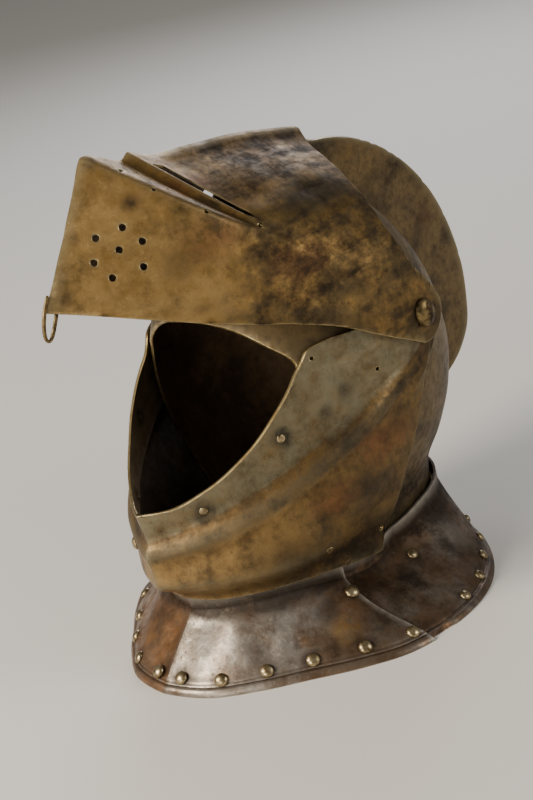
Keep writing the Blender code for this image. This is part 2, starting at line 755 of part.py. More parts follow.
def dome_pin(name, place, normal, head, rise, shank, length, material, sides=SIDES):
    """A rivet: a domed head over a shank that points into the plate."""
    turn = normal.to_track_quat('Z', 'Y').to_matrix()
    profile = [(0.76 * head, rise * 0.64), (head, 0.0), (shank, 0.0), (shank, -length)]
    vertices = [place + turn @ Vector((0.0, 0.0, rise))]
    for radius, height in profile:
        for i in range(sides):
            around = 2 * math.pi * i / sides
            vertices.append(place + turn @ Vector((radius * math.cos(around),
                                                   radius * math.sin(around), height)))
    faces = [[0, 1 + i, 1 + (i + 1) % sides] for i in range(sides)]
    for ring in range(len(profile) - 1):
        for i in range(sides):
            k = (i + 1) % sides
            a = 1 + ring * sides
            faces.append([a + i, a + k, a + sides + k, a + sides + i])
    last = 1 + (len(profile) - 1) * sides
    faces.append([last + i for i in range(sides)])
    return mesh_object(name, vertices, faces, material)


def surface_normal(point, share, angle):
    """Outward normal of a polar sheet at a share and an angle."""
    step = 0.004
    along = point(min(1.0, share + step), angle) - point(share - step, angle)
    around = point(share, angle + 0.4) - point(share, angle - 0.4)
    normal = along.cross(around).normalized()
    if normal.dot(point(share, angle)) < 0.0:
        normal = -normal
    return normal


def mirror_x(vector):
    return Vector((-vector.x, vector.y, vector.z))


def seat_height(plate, point, normal, radius):
    """Height of the highest facet under a rivet's head, over its point."""
    tree = BVHTree.FromPolygons([v.co for v in plate.data.vertices],
                                [p.vertices for p in plate.data.polygons])
    turn = normal.to_track_quat('Z', 'Y').to_matrix()
    heights = [0.0]
    for i in range(2 * SIDES):
        around = math.pi * i / SIDES
        for share in (0.6, 1.0):
            spot = turn @ Vector((math.cos(around), math.sin(around), 0.0)) * radius * share
            hit = tree.ray_cast(point + spot + normal * radius, -normal, 2.0 * radius)[0]
            if hit:
                heights.append((hit - point).dot(normal))
    return max(heights)


def place_rivet(name, plates, point, normal, size, material, depth=None, flat=1.0):
    """Drill the plates along the normal and set a rivet in the hole."""
    lift = GAP + seat_height(plates[0], point, normal, RIVET_HEAD * size)
    shank = RIVET_SHANK * max(1.0, size)
    reach = depth if depth else PLATE + RIVET_BEYOND
    for index, plate in enumerate(plates):
        cut(plate, pin_cutter(name + "_drill_" + str(index), point, normal,
                              shank + GAP, DRILL_LENGTH))
    return dome_pin(name, point + normal * lift, normal, RIVET_HEAD * size,
                    RIVET_RISE * size * flat, shank, reach, material)


def tube_loop(name, path, radius, material, sides=8):
    """A round wire along a path of points in the middle plane."""
    vertices = []
    for i, place in enumerate(path):
        ahead = (path[min(i + 1, len(path) - 1)] - path[max(i - 1, 0)]).normalized()
        across = Vector((1.0, 0.0, 0.0))
        up = ahead.cross(across)
        for k in range(sides):
            around = 2 * math.pi * k / sides
            vertices.append(place + (across * math.cos(around) + up * math.sin(around)) * radius)
    faces = [list(range(sides)), list(range((len(path) - 1) * sides, len(path) * sides))]
    for i in range(len(path) - 1):
        for k in range(sides):
            m = (k + 1) % sides
            faces.append([i * sides + k, i * sides + m, (i + 1) * sides + m, (i + 1) * sides + k])
    return mesh_object(name, vertices, faces, material)


def build():
    for item in list(bpy.data.objects):
        bpy.data.objects.remove(item, do_unlink=True)
    metal = {name: steel(name) for name in STEEL}

    skull = trimmed_sheet("skull", skull_grids(), SKULL_OUTLINE, metal["skull_steel"])
    bevor = trimmed_sheet("bevor", bevor_grids(), BEVOR_OUTLINE, metal["bevor_steel"])
    visor = trimmed_sheet("visor", visor_grids(), VISOR_OUTLINE, metal["visor_bronzed_steel"])

    # Front plate: collar inside the bevor, flare, rolled rim.  The rear plate lies
    # under its ends, and shares its columns there.
    levels = [1.075, 1.001, 0.80, 0.55, 0.30, ROLL_LEVEL + 0.003, ROLL_LEVEL, 0.0]
    lap = [FRONT_END - SEAM_LAP, FRONT_END - 0.5 * SEAM_LAP, FRONT_END]
    half = [0.0, 4.0, 13.0, 23.0, 33.0, 43.0, 52.0] + lap
    angles = [-a for a in reversed(half[1:])] + half
    gorget_front = strip("gorget_front", *gorget_grids(angles, levels, 0.0, 0.0),
                         metal["gorget_steel"])
    base = -(GORGET_PLATE + GAP)
    rear_half = lap + [80.0, 91.0, 103.0, 115.0, 127.0, 139.0, 152.0, 166.0, 180.0]
    rear_angles = rear_half + [-a for a in reversed(rear_half[:-1])]
    gorget_rear = strip("gorget_rear",
                        *gorget_grids(rear_angles, levels, base, FRONT_END + 9.0),
                        metal["gorget_steel"])

    body = {"bevor": [bevor, gorget_front], "skull": [skull, gorget_rear], "visor": [visor]}
    brass = metal["rivet_brass"]
    sides = (("left", 1.0), ("right", -1.0))

    for side, sign in sides:
        def place(vector):
            return Vector((sign * vector.x, vector.y, vector.z))
        for number, (angle, level, size) in enumerate(FRONT_RIVETS, 1):
            turned = min(angle, slanted(FRONT_END, level) - RIVET_INSET)
            point = place(gorget_point(turned, level))
            normal = place(gorget_normal(turned, level))
            body["bevor"].append(place_rivet("front_rivet_" + side + "_" + str(number),
                                             [gorget_front], point, normal, size, brass,
                                             GORGET_PLATE + FRONT_BEYOND))
        for number, (angle, level, size) in enumerate(REAR_RIVETS, 1):
            normal = place(gorget_normal(angle, level))
            point = place(gorget_point(angle, level)) + normal * base
            body["skull"].append(place_rivet("rear_rivet_" + side + "_" + str(number),
                                             [gorget_rear], point, normal, size, brass))
        for number, (angle, share, size) in enumerate(BEVOR_RIVETS, 1):
            point = place(bevor_point(share, angle))
            normal = place(surface_normal(bevor_point, share, angle))
            body["bevor"].append(place_rivet("bevor_rivet_" + side + "_" + str(number),
                                             [bevor], point, normal, size, brass,
                                             flat=FLUSH))
        for number, (angle, share) in enumerate(BREATH_HOLES, 1):
            point = place(visor_point(share, angle))
            normal = place(surface_normal(visor_point, share, angle))
            cut(visor, pin_cutter("breath_" + side + "_" + str(number), point, normal,
                                  HOLE_RADIUS, BREATH_DRILL_LENGTH, SIDES))
        cut(visor, slit_cutter("sight_" + side, place))
        for plate in (skull, bevor, visor):
            cut(plate, pin_cutter("pivot_drill_" + side + "_" + plate.name,
                                  Vector((sign * BEVOR_HALF_WIDTH, 0.0, 0.0)),
                                  Vector((sign, 0.0, 0.0)), PIVOT_SHANK + GAP,
                                  2.0 * PIVOT_REACH, 12))
        body["skull"].append(dome_pin("pivot_" + side,
                                      Vector((sign * (VISOR_HALF_WIDTH + GAP), 0.0, 0.0)),
                                      Vector((sign, 0.0, 0.0)), PIVOT_HEAD, PIVOT_RISE,
                                      PIVOT_SHANK, PIVOT_REACH, metal["pivot_steel"], 12))

    # Stud on the right of the chin, where the closed visor is caught.
    point = mirror_x(bevor_point(STUD_SHARE, STUD_ANGLE))
    normal = mirror_x(surface_normal(bevor_point, STUD_SHARE, STUD_ANGLE))
    body["bevor"].append(place_rivet("bevor_stud", [bevor], point, normal, 1.0, brass))

    # Lifting loop: a bent wire from the front of the keel round to its back.
    low = polar(0.0, table(VISOR_SECTIONS, 20.5, 1), 20.5)
    path = [low + Vector((0.0, y, z)) for y, z in LOOP_PATH]
    loop = tube_loop("lifting_loop", path, LOOP_WIRE, metal["pivot_steel"])
    body["visor"].append(loop)

    for plate in (skull, bevor, visor, gorget_front, gorget_rear):
        bake(plate)
    everything = [item for items in body.values() for item in items]
    low = min(v.co.y for item in everything for v in item.data.vertices)
    high = max(v.co.y for item in everything for v in item.data.vertices)
    seat = Vector((0.0, -0.5 * (low + high), HINGE_HEIGHT))
    for item in everything:
        shade(item, SMOOTH_ANGLE)
        item.location = seat


build()
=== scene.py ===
"""Close helmet of a heavy cavalryman, dressed.  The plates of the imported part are
beaten again as fine sheets, with dents, rolled and worn edges, drilled holes and
smooth rivets, under the brown patina of old steel.  Metres, +Z up, front on -Y."""
import json
import math

import bpy
import numpy as np
from mathutils import Matrix, Vector

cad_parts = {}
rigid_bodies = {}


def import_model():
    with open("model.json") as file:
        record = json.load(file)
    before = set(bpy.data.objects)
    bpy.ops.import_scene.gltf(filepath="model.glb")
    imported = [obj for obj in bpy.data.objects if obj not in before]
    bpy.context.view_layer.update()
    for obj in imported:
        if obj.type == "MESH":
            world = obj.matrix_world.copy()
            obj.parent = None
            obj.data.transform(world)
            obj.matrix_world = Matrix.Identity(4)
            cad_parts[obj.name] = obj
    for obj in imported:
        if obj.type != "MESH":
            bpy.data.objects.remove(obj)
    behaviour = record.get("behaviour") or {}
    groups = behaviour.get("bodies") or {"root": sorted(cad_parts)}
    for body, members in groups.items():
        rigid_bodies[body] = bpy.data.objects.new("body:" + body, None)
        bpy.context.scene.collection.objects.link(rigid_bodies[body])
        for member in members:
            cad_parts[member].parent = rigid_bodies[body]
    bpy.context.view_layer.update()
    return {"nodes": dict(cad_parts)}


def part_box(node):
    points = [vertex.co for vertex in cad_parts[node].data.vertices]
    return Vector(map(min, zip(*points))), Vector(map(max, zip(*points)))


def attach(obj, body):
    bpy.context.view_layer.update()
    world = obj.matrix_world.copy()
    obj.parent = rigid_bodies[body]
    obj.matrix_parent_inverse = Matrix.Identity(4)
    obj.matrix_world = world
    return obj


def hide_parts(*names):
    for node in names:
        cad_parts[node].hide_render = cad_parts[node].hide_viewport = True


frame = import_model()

MM = 0.001
# The hinge line: its height over the floor, and its Y read from a pivot that lies on it.
PIVOT_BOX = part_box("pivot_left")
HINGE_HEIGHT = 0.1701
SEAT_Y = 0.5 * (PIVOT_BOX[0].y + PIVOT_BOX[1].y)
SEAT = np.array((0.0, SEAT_Y, HINGE_HEIGHT))

PLATE = 0.0019                 # skull, visor and bevor sheet
GORGET_PLATE = 0.0015          # gorget sheet
GAP = 0.0004                   # between two plates that lie on each other
REAR_BASE = -(GORGET_PLATE + GAP)      # the rear gorget plate lies under the front one
FACET = 0.0006                 # more, under the bevor's foot
EDGE_ROUND = 0.00045           # how far the filed edges are rounded
EVEN = 0.00022                 # how uneven hammer work leaves a sheet

# Skull: half axes of the bowl about its centre, and of the neck below it.
SKULL_HALF_WIDTH = 0.0845
SKULL_FRONT = 0.0850
SKULL_REAR = 0.1020
SKULL_TOP = 0.1140
SKULL_BOTTOM = 0.1050
SKULL_CENTRE = (-0.0180, -0.0340)
NECK_HALF_WIDTH = 0.0620
NECK_HALF_LENGTH = 0.0620
NECK_CENTRE_Y = -0.0140

# Comb: an arc in the middle plane, kept level over the brow.
COMB_CENTRE = (0.0200, -0.0350)
COMB_RADIUS = 0.1250
COMB_BROW_REACH = 0.0965
COMB_HALF_TOP = 0.0021
COMB_HALF_FOOT = 0.0062
COMB_FILLET = 0.0130
COMB_FADE = (204.0, 250.0)
COMB_START = 24.0
COMB_SINK = 0.0006             # its fillet starts this deep in the bowl
COMB_CROWN = 0.0008            # rise of its edge in the middle
COMB_HOLLOW = 0.0120           # it is fully hollow where it stands this high
# Nicks in its edge: angle, half width in degrees, depth in mm.
COMB_NICKS = ((137.0, 0.5, 0.5), (141.5, 0.7, 0.8), (145.0, 0.4, 0.6), (149.0, 0.9, 0.7),
              (152.0, 0.4, 0.9), (166.0, 0.6, 0.9), (178.0, 0.5, 0.5), (190.0, 0.7, 0.5))
NECK_BLEND = 14.0              # how tight the hollow between bowl and neck is

BEVOR_HALF_WIDTH = 0.0920
VISOR_HALF_WIDTH = 0.0950
RIDGE_ANGLE = -29.0            # the stop on the bevor that the visor meets
RIDGE_RELIEF = 0.0026
RIDGE_DROP = 0.0200
RIDGE_SLOPE = 0.39
TENT_HALF_WIDTH = 0.0042       # crest of the visor that passes over the comb
TENT_FLOW = 0.0090             # its sides flow out into the dome over this width

GORGET_AXIS_Y = -0.0550
RIM_REACH = 0.1215
RIM_ROLL = 0.0014
ROLL_LEVEL = 0.115
FRONT_END = 71.0
SEAM_LEAN = 11.0
SEAM_LAP = 10.0

RIVET_HEAD = 0.0040
RIVET_RISE = 0.0025
RIVET_SHANK = 0.0013
PIVOT_HEAD = 0.0085
PIVOT_RISE = 0.0046
PIVOT_SHANK = 0.0032
PIVOT_LENGTH = 0.0180
SHANK_TAIL = 0.0012            # a rivet's shank is this much longer than PLATE
SEATED = 0.0002                # its head sits this deep in the plate
# Profile of a flush head: radius, height.
FLUSH_HEAD = ((0.0, 0.00042), (0.0012, 0.00040), (0.0020, 0.00034), (0.0024, 0.00022),
              (0.00255, 0.0), (0.0025, -SEATED))
RIVET_INSET = 2.4              # degrees that a rivet keeps from the end of the front plate
RIVET_SHADE_AND_DIRT = 7.0               # reach of the dark ring round a rivet, in mm: dirt, and painted shade of the gap under its head
CROOKED = 0.05                 # spread of a rivet's lean, as a share
SIZE_SPREAD = 0.025            # spread of its size, as a share
PIVOT_SQUEEZE = 0.80           # the pivot heads are oval
HOLE_RADIUS = 0.0019           # breath holes
SMALL_HOLE = 0.0011            # holes of lost fittings
DRILL_HALF = 0.0070            # half the length of a drill
SIDES = (("left", 1.0), ("right", -1.0))

# Reach of the bevor in the middle plane: angle, reach, share of the fuller section.
BEVOR_SECTIONS = (
    (14.0, 0.1270, 0.00), (4.0, 0.1290, 0.00), (-2.4, 0.1330, 0.00), (-7.0, 0.1460, 0.00),
    (-11.0, 0.1570, 0.00), (-15.0, 0.1665, 0.00), (-20.0, 0.1730, 0.00),
    (-24.0, 0.1765, 0.00), (-27.0, 0.1785, 0.05), (-29.0, 0.1840, 0.70),
    (-31.0, 0.1885, 1.00), (-34.0, 0.1960, 1.00), (-38.0, 0.2070, 1.00),
    (-42.0, 0.2190, 1.00), (-46.0, 0.2245, 1.00), (-50.0, 0.2210, 1.00),
    (-56.0, 0.2120, 1.00), (-64.0, 0.2090, 1.00), (-72.0, 0.2060, 1.00),
    (-84.0, 0.1980, 1.00), (-104.0, 0.1750, 1.00), (-160.0, 0.1500, 1.00),
    (-250.0, 0.1300, 0.60), (-346.0, 0.1270, 0.00),
)
# Reach of the visor: angle, reach, share of the keeled section, crest height.
VISOR_SECTIONS = (
    (-60.0, 0.1600, 0.30, 0.0), (0.0, 0.1940, 1.00, 0.0), (20.5, 0.1944, 1.00, 0.0),
    (27.0, 0.1901, 1.00, 0.0), (35.0, 0.1882, 1.00, 0.0), (41.0, 0.1892, 1.00, 0.0),
    (45.6, 0.1915, 1.00, 0.0), (46.4, 0.1895, 1.00, 0.0), (49.8, 0.1662, 0.96, 0.0),
    (50.3, 0.1650, 0.94, 0.0), (51.9, 0.1645, 0.88, 0.0), (52.4, 0.1628, 0.84, 0.0),
    (54.0, 0.1530, 0.70, 0.0012), (57.0, 0.1412, 0.52, 0.0036), (63.0, 0.1270, 0.34, 0.0070),
    (73.0, 0.1110, 0.15, 0.0100), (84.0, 0.1010, 0.04, 0.0110), (95.0, 0.0950, 0.00, 0.0115),
    (107.0, 0.0925, 0.00, 0.0125), (128.0, 0.0925, 0.00, 0.0125), (200.0, 0.1200, 0.00, 0.0),
    (300.0, 0.1600, 0.30, 0.0),
)
# The same past the ends of the sights: angle, reach, share of the keeled section.
VISOR_SIDES = (
    (27.0, 0.1901, 1.00), (35.0, 0.1872, 0.99), (41.0, 0.1830, 0.95), (46.0, 0.1765, 0.88),
    (50.0, 0.1685, 0.79), (54.0, 0.1585, 0.68), (58.0, 0.1465, 0.54), (63.0, 0.1320, 0.37),
    (68.0, 0.1205, 0.24), (73.0, 0.1110, 0.15),
)
SIDE_SHARES = (0.46, 0.64)     # the sights run out between these shares of the width
LEDGE_ANGLES = (45.6, 57.0)
SIGHT_DROOP = (3.0, 4.0)
SLIT_ANGLES = (52.6, 53.9)
SLIT_ENDS = (0.115, 0.58)
SLIT_DEPTHS = (1.12, 0.88)     # faces of the bar that cuts it, in shares of the reach

# Side views: y and z from the hinge line in shares of HINGE_HEIGHT, 1 at a corner.
SKULL_OUTLINE = (
    (-0.70, 0.26, 1), (-0.565, 0.168, 0), (-0.525, 0.140, 0), (-0.470, 0.052, 0),
    (-0.428, -0.019, 0), (-0.425, -0.060, 0), (-0.414, -0.155, 0), (-0.396, -0.288, 0),
    (-0.374, -0.430, 1), (-0.374, -0.829, 1), (0.34, -0.7525, 1), (1.10, -0.690, 1),
    (1.10, 0.90, 1), (-0.70, 0.90, 1),
)
BEVOR_OUTLINE = (
    (-0.270, 0.034, 0), (-0.350, 0.034, 0), (-0.398, 0.022, 0), (-0.431, -0.018, 0),
    (-0.475, -0.062, 0), (-0.560, -0.140, 0), (-0.682, -0.247, 0), (-0.805, -0.331, 0),
    (-0.880, -0.366, 0), (-0.950, -0.372, 0), (-1.250, -0.372, 1), (-1.250, -0.744, 1),
    (-0.520, -0.744, 0), (-0.284, -0.776, 1), (-0.226, -0.645, 0), (-0.146, -0.474, 0),
    (-0.070, -0.330, 0), (-0.012, -0.205, 0), (0.052, -0.120, 0), (0.100, -0.030, 0),
    (0.096, 0.040, 0), (0.055, 0.086, 0), (0.000, 0.100, 0), (-0.060, 0.082, 0),
    (-0.120, 0.048, 0),
)
VISOR_OUTLINE = (
    (-0.062, -0.078, 0), (-0.215, 0.010, 0), (-0.310, 0.070, 0), (-0.445, 0.133, 0),
    (-0.640, 0.206, 0), (-1.070, 0.397, 0), (-1.300, 0.485, 1), (-1.300, 1.000, 1),
    (0.164, 1.000, 1), (0.164, 0.620, 0), (0.138, 0.560, 0), (0.086, 0.520, 0),
    (0.030, 0.455, 0), (0.004, 0.350, 0), (0.004, 0.250, 0), (0.024, 0.160, 0),
    (0.072, 0.082, 0), (0.104, 0.010, 0), (0.092, -0.052, 0), (0.050, -0.096, 0),
    (0.000, -0.108, 0),
)
# Gorget plan: angle, reach of the rim and of the neck, height of the crease.
GORGET_PLAN = (
    (0.0, 1.000, 0.712, 0.296), (14.0, 0.978, 0.690, 0.312), (30.0, 0.914, 0.640, 0.326),
    (45.0, 0.881, 0.592, 0.322), (60.0, 0.908, 0.560, 0.300), (75.0, 0.958, 0.541, 0.268),
    (90.0, 0.972, 0.541, 0.256), (110.0, 0.985, 0.575, 0.290), (130.0, 0.972, 0.668, 0.338),
    (155.0, 0.956, 0.806, 0.345), (180.0, 0.952, 0.865, 0.340),
)
FLARE = ((1.00, 0.000), (0.82, 0.215), (0.62, 0.450), (0.42, 0.665), (0.24, 0.845),
         (0.10, 0.960), (0.00, 1.000))

KEEL_DEPTH = 0.0024            # hollow beside the gorget's front keel
KEEL_EDGE = 5.0                # and how it spreads, in mm
KEEL_WIDTH = 24.0

# Incised lines over the rolled rim: how far up from the roll, in levels, and depth;
# then their width in levels.
RIM_LINES = ((0.008, 0.0004), (0.050, 0.0003))
LINE_WIDTH = 0.007

# Rivets of the gorget: angle, level, size of the head.
FRONT_RIVETS = ((4.8, 0.23, 1.0), (18.0, 0.21, 1.0), (31.6, 0.22, 1.0), (46.2, 0.225, 1.0),
                (63.0, 0.235, 1.0), (78.4, 0.22, 1.0), (69.5, 0.845, 1.15))
REAR_RIVETS = ((102.7, 0.216, 0.85), (114.5, 0.210, 0.85), (126.0, 0.220, 0.85),
               (138.0, 0.230, 0.85), (152.0, 0.240, 0.85), (168.0, 0.250, 0.85),
               (107.6, 0.835, 0.85))
# Flush rivets and stud of the bevor, breath holes of the visor: angle, share of the
# half width.
BEVOR_RIVETS = ((-18.7, 0.661), (-25.3, 0.317), (-46.2, 0.758))
STUD = (-33.5, 0.40)
BREATH_HOLES = ((37.0, 0.209), (33.8, 0.121), (35.4, 0.289), (32.6, 0.214), (29.4, 0.134),
                (30.2, 0.312), (27.1, 0.211))
# The bevor's foot is drawn in to the neck between these depths below the hinge line,
# in shares of HINGE_HEIGHT; this fades out between these angles of the plan.
TUCK_DEPTHS = (0.640, 0.728)
TUCK_ANGLES = (130.0, 108.0)

# Small holes: on the ledge in mm from the hinge line, on the bevor angle and share.
LEDGE_HOLES = ((12.3, -118.6, 124.9), (11.5, -107.2, 120.1), (27.4, -111.7, 112.6),
               (26.9, -102.4, 109.0), (45.6, -95.6, 94.5), (56.8, -71.8, 76.9))
BEVOR_HOLES = ((-0.1, 0.746), (-17.1, 0.927), (-63.3, 0.784))

# Dents, from the hinge line in mm: place, radius, depth, and on the three large
# sheets how far they are drawn out along Y.
VISOR_DENTS = (
    (20.8, -124.5, 109.7, 5.0, 1.1, 1.0), (2.9, -155.4, 100.5, 5.0, 0.7, 1.0),
    (4.8, -172.3, 72.9, 5.0, 0.8, 1.0), (53.0, -118.0, 47.0, 4.0, 0.6, 1.5),
    (67.5, -92.9, 35.8, 4.0, 0.6, 1.5), (56.0, -30.0, 84.0, 3.6, 0.9, 3.6),
    (69.0, -22.0, 70.0, 3.2, 0.9, 4.0), (77.0, -28.0, 52.0, 3.4, 0.8, 3.4),
    (40.0, -20.0, 96.0, 4.0, 0.7, 3.0), (82.0, -40.0, 38.0, 3.4, 0.7, 3.4),
    (86.0, -22.0, 30.0, 5.0, 0.8, 2.0), (80.0, -66.0, 38.0, 12.0, 0.9, 2.0),
    (60.0, -80.0, 68.0, 14.0, 0.8, 1.5), (30.0, 2.0, 92.0, 4.0, -0.7, 3.0),
)
BEVOR_DENTS = (
    (78.3, -57.6, -24.4, 5.0, 0.5, 1.0), (72.7, -71.7, -34.0, 5.0, 0.5, 1.0),
    (84.0, -42.0, -66.0, 16.0, 0.8, 1.0), (74.6, -85.0, -80.3, 12.0, 0.7, 1.0),
    (40.0, -140.0, -95.0, 12.0, 0.8, 1.0), (-60.0, -90.0, -70.0, 14.0, 0.9, 1.0),
)
SKULL_DENTS = (
    (60.5, 29.0, 24.9, 14.0, 0.8, 1.0), (70.0, 20.0, -60.0, 12.0, 0.7, 1.0),
    (-55.0, 50.0, 10.0, 14.0, 0.9, 1.0), (-70.0, 10.0, 40.0, 10.0, 0.6, 1.0),
    (30.0, 78.0, -40.0, 14.0, 0.8, 1.0),
)
GORGET_DENTS = (
    (63.7, -125.5, -153.1, 4.0, 1.2), (49.9, -138.4, -151.3, 8.0, 1.5),
    (30.0, -140.0, -140.0, 9.0, -0.8), (80.0, -95.0, -150.0, 8.0, 0.9),
    (-60.0, -120.0, -150.0, 9.0, 1.1), (76.0, 2.0, -143.0, 9.0, -0.8),
    (-80.0, 10.0, -148.0, 8.0, 0.9),
)


def linear(code):
    """An sRGB hex colour as the linear colour that a shader takes."""
    parts = [int(code[i:i + 2], 16) / 255.0 for i in (0, 2, 4)]
    return tuple(c / 12.92 if c <= 0.04045 else ((c + 0.055) / 1.055) ** 2.4
                 for c in parts) + (1.0,)


def curve(rows, column):
    """A smooth curve through one column of a table, for arrays of keys."""
    order = sorted(rows)
    keys = np.array([row[0] for row in order])
    values = np.array([row[column] for row in order])
    width = np.diff(keys)
    step = np.diff(values) / width
    same = step[:-1] * step[1:] > 0.0
    total = np.where(same, step[:-1] + step[1:], 1.0)
    inner = np.where(same, 2.0 * step[:-1] * step[1:] / total, 0.0)
    slope = np.concatenate((step[:1], inner, step[-1:]))

    def at(key):
        """The curve's value at each key."""
        i = np.clip(np.searchsorted(keys, key, side="right") - 1, 0, len(width) - 1)
        t = np.clip((key - keys[i]) / width[i], 0.0, 1.0)
        return ((1 + 2 * t) * (1 - t) ** 2 * values[i]
                + t * (1 - t) ** 2 * width[i] * slope[i]
                + t * t * (3 - 2 * t) * values[i + 1]
                + t * t * (t - 1) * width[i] * slope[i + 1])
    return at


def smooth(low, high, value):
    """0 at low, 1 at high, a soft step between."""
    t = np.clip((value - low) / (high - low), 0.0, 1.0)
    return t * t * (3 - 2 * t)


def polar(x, reach, angle):
    """Points at a distance from the hinge line, at angles from straight ahead."""
    turn = np.radians(angle)
    return np.stack((x + 0.0 * turn, -reach * np.cos(turn), reach * np.sin(turn)), axis=-1)


bevor_reach = curve(BEVOR_SECTIONS, 1)
bevor_lower = curve(BEVOR_SECTIONS, 2)
visor_reach = curve(VISOR_SECTIONS, 1)
visor_side = curve(VISOR_SIDES, 1)
visor_side_prow = curve(VISOR_SIDES, 2)
visor_prow = curve(VISOR_SECTIONS, 2)
visor_crest = curve(VISOR_SECTIONS, 3)
plan_columns = [curve(GORGET_PLAN, column) for column in (1, 2, 3)]
flare_out = curve(FLARE, 1)


def bowl_reach(direction):
    """Distance from the middle of the hinge line to the bowl or the neck below it."""
    x, y, z = direction
    low = np.full(np.shape(x), 0.5 * NECK_HALF_WIDTH)
    top = np.full(np.shape(x), 4.0 * SKULL_REAR)
    for _ in range(28):
        r = 0.5 * (low + top)
        dy = r * y - SKULL_CENTRE[0]
        dz = r * z - SKULL_CENTRE[1]
        length = np.where(dy < 0, SKULL_FRONT, SKULL_REAR)
        height = np.where(dz > 0, SKULL_TOP, SKULL_BOTTOM)
        bowl = (r * x / SKULL_HALF_WIDTH) ** 2 + (dy / length) ** 2 + (dz / height) ** 2
        neck = (r * x / NECK_HALF_WIDTH) ** 2 + ((r * y - NECK_CENTRE_Y) / NECK_HALF_LENGTH) ** 2
        # The two meet in a soft hollow, as the nape was worked over a stake.
        soft = np.exp(-NECK_BLEND * (bowl - 1.0)) + np.exp(-NECK_BLEND * (neck - 1.0))
        outside = np.where(dz > 0, bowl > 1.0, soft < 1.0)
        top = np.where(outside, r, top)
        low = np.where(outside, low, r)
    return low


def comb_reach(angle):
    """Distance from the hinge line to the comb's edge, with the nicks of its wear."""
    turn = np.radians(angle)
    y, z = -np.cos(turn), np.sin(turn)
    along = y * COMB_CENTRE[0] + z * COMB_CENTRE[1]
    off = COMB_CENTRE[0] ** 2 + COMB_CENTRE[1] ** 2 - along ** 2
    arc = along + np.sqrt(COMB_RADIUS ** 2 - off)
    arc = np.where(angle < 150.0, np.maximum(arc, COMB_BROW_REACH), arc)
    for place, width, depth in COMB_NICKS:
        arc = arc - depth * MM * np.exp(-((angle - place) / width) ** 2)
    return arc


def comb_height(angle):
    """How far the comb stands over the bowl."""
    turn = np.radians(angle)
    bare = bowl_reach((0.0 * turn, -np.cos(turn), np.sin(turn)))
    rise = np.maximum(0.0, comb_reach(angle) - bare)
    rise = rise * (1.0 - smooth(COMB_FADE[0], COMB_FADE[1], angle))
    return rise * smooth(COMB_START - 8.0, COMB_START + 10.0, angle)


def bevor_section(share, lower):
    """Reach share of the bevor at a share of its half width."""
    share = np.clip(share, 0.0, 1.0)
    lean = np.maximum(1.0 - 0.46 * share - 0.54 * share ** 2, 0.0) ** 0.64
    full = np.maximum(1.0 - 0.50 * share - 0.50 * share ** 3, 0.0) ** 0.50
    return lean + (full - lean) * lower * (1.0 - 0.6 * smooth(0.93, 1.0, share))


def ridge_turn(share):
    """How far the stop turns down at a share, from where it crosses the middle plane."""
    tilt = math.atan(RIDGE_SLOPE)
    middle = bevor_reach(RIDGE_ANGLE)
    reach = np.maximum(RIDGE_DROP, middle * bevor_section(share, 0.3))
    first = math.asin(-RIDGE_DROP * math.cos(tilt) / middle)
    return np.degrees(np.arcsin(-RIDGE_DROP * math.cos(tilt) / reach) - first)


def gorget_plan(angle, column):
    """A column of the gorget plan as a length; the neck clears the skull's."""
    value = plan_columns[column - 1](angle) * RIM_REACH
    if column != 2:
        return value
    wall = 2.0 * (GORGET_PLATE + GAP) + 4.0 * FACET
    half = NECK_HALF_WIDTH + wall
    length = NECK_HALF_LENGTH + wall
    turn = np.radians(angle)
    across, back = np.sin(turn), -np.cos(turn)
    behind = GORGET_AXIS_Y - NECK_CENTRE_Y
    square = (across / half) ** 2 + (back / length) ** 2
    line = back * behind / length ** 2
    room = line ** 2 - square * ((behind / length) ** 2 - 1.0)
    clear = (np.sqrt(np.maximum(room, 0.0)) - line) / square
    return np.where(room > 0.0, np.maximum(value, clear), value)


def bevor_point(share, angle):
    """Outer bevor point at a share of the half width, tucked in under the chin."""
    reach = bevor_reach(angle)
    across = reach * bevor_section(share, bevor_lower(angle))
    along = smooth(16.0, RIDGE_ANGLE, angle) * smooth(-200.0, RIDGE_ANGLE, angle)
    turned = angle + ridge_turn(share) * along
    point = polar(share * BEVOR_HALF_WIDTH, across, turned)
    ridge = RIDGE_RELIEF * np.exp(-((angle - RIDGE_ANGLE) / 1.7) ** 2)
    ridge = ridge * smooth(0.12, 0.35, across / reach)
    side = -np.cos(np.radians(turned)) * (1 - share)
    size = np.maximum(np.hypot(share, side), 1e-9)
    point[..., 0] += ridge * share / size
    point[..., 1] += ridge * side / size
    turn = np.degrees(np.arctan2(point[..., 0], -(point[..., 1] - GORGET_AXIS_Y)))
    out = np.maximum(np.hypot(point[..., 0], point[..., 1] - GORGET_AXIS_Y), 1e-6)
    neck = gorget_plan(turn, 2) + GAP + PLATE + 2.0 * FACET
    tuck = smooth(*TUCK_DEPTHS, -point[..., 2] / HINGE_HEIGHT) * smooth(*TUCK_ANGLES, turn)
    scale = 1.0 - tuck * (1.0 - neck / out)
    point[..., 0] *= scale
    point[..., 1] = GORGET_AXIS_Y + (point[..., 1] - GORGET_AXIS_Y) * scale
    return point


def visor_section(share, prow):
    """Reach share of the visor at a share of its half width."""
    keeled = np.maximum(1.0 - 0.83 * share - 0.17 * share ** 4, 0.0) ** 0.66
    domed = np.maximum(1.0 - share ** 2, 0.0) ** 0.50
    return domed + (keeled - domed) * prow


def sight_dip(share, angle):
    """How far the sights droop toward the sides, in degrees."""
    droop = SIGHT_DROOP[0] + SIGHT_DROOP[1] * smooth(46.0, 53.0, angle)
    return share * droop * smooth(22.0, 42.0, angle) * smooth(84.0, 57.0, angle)


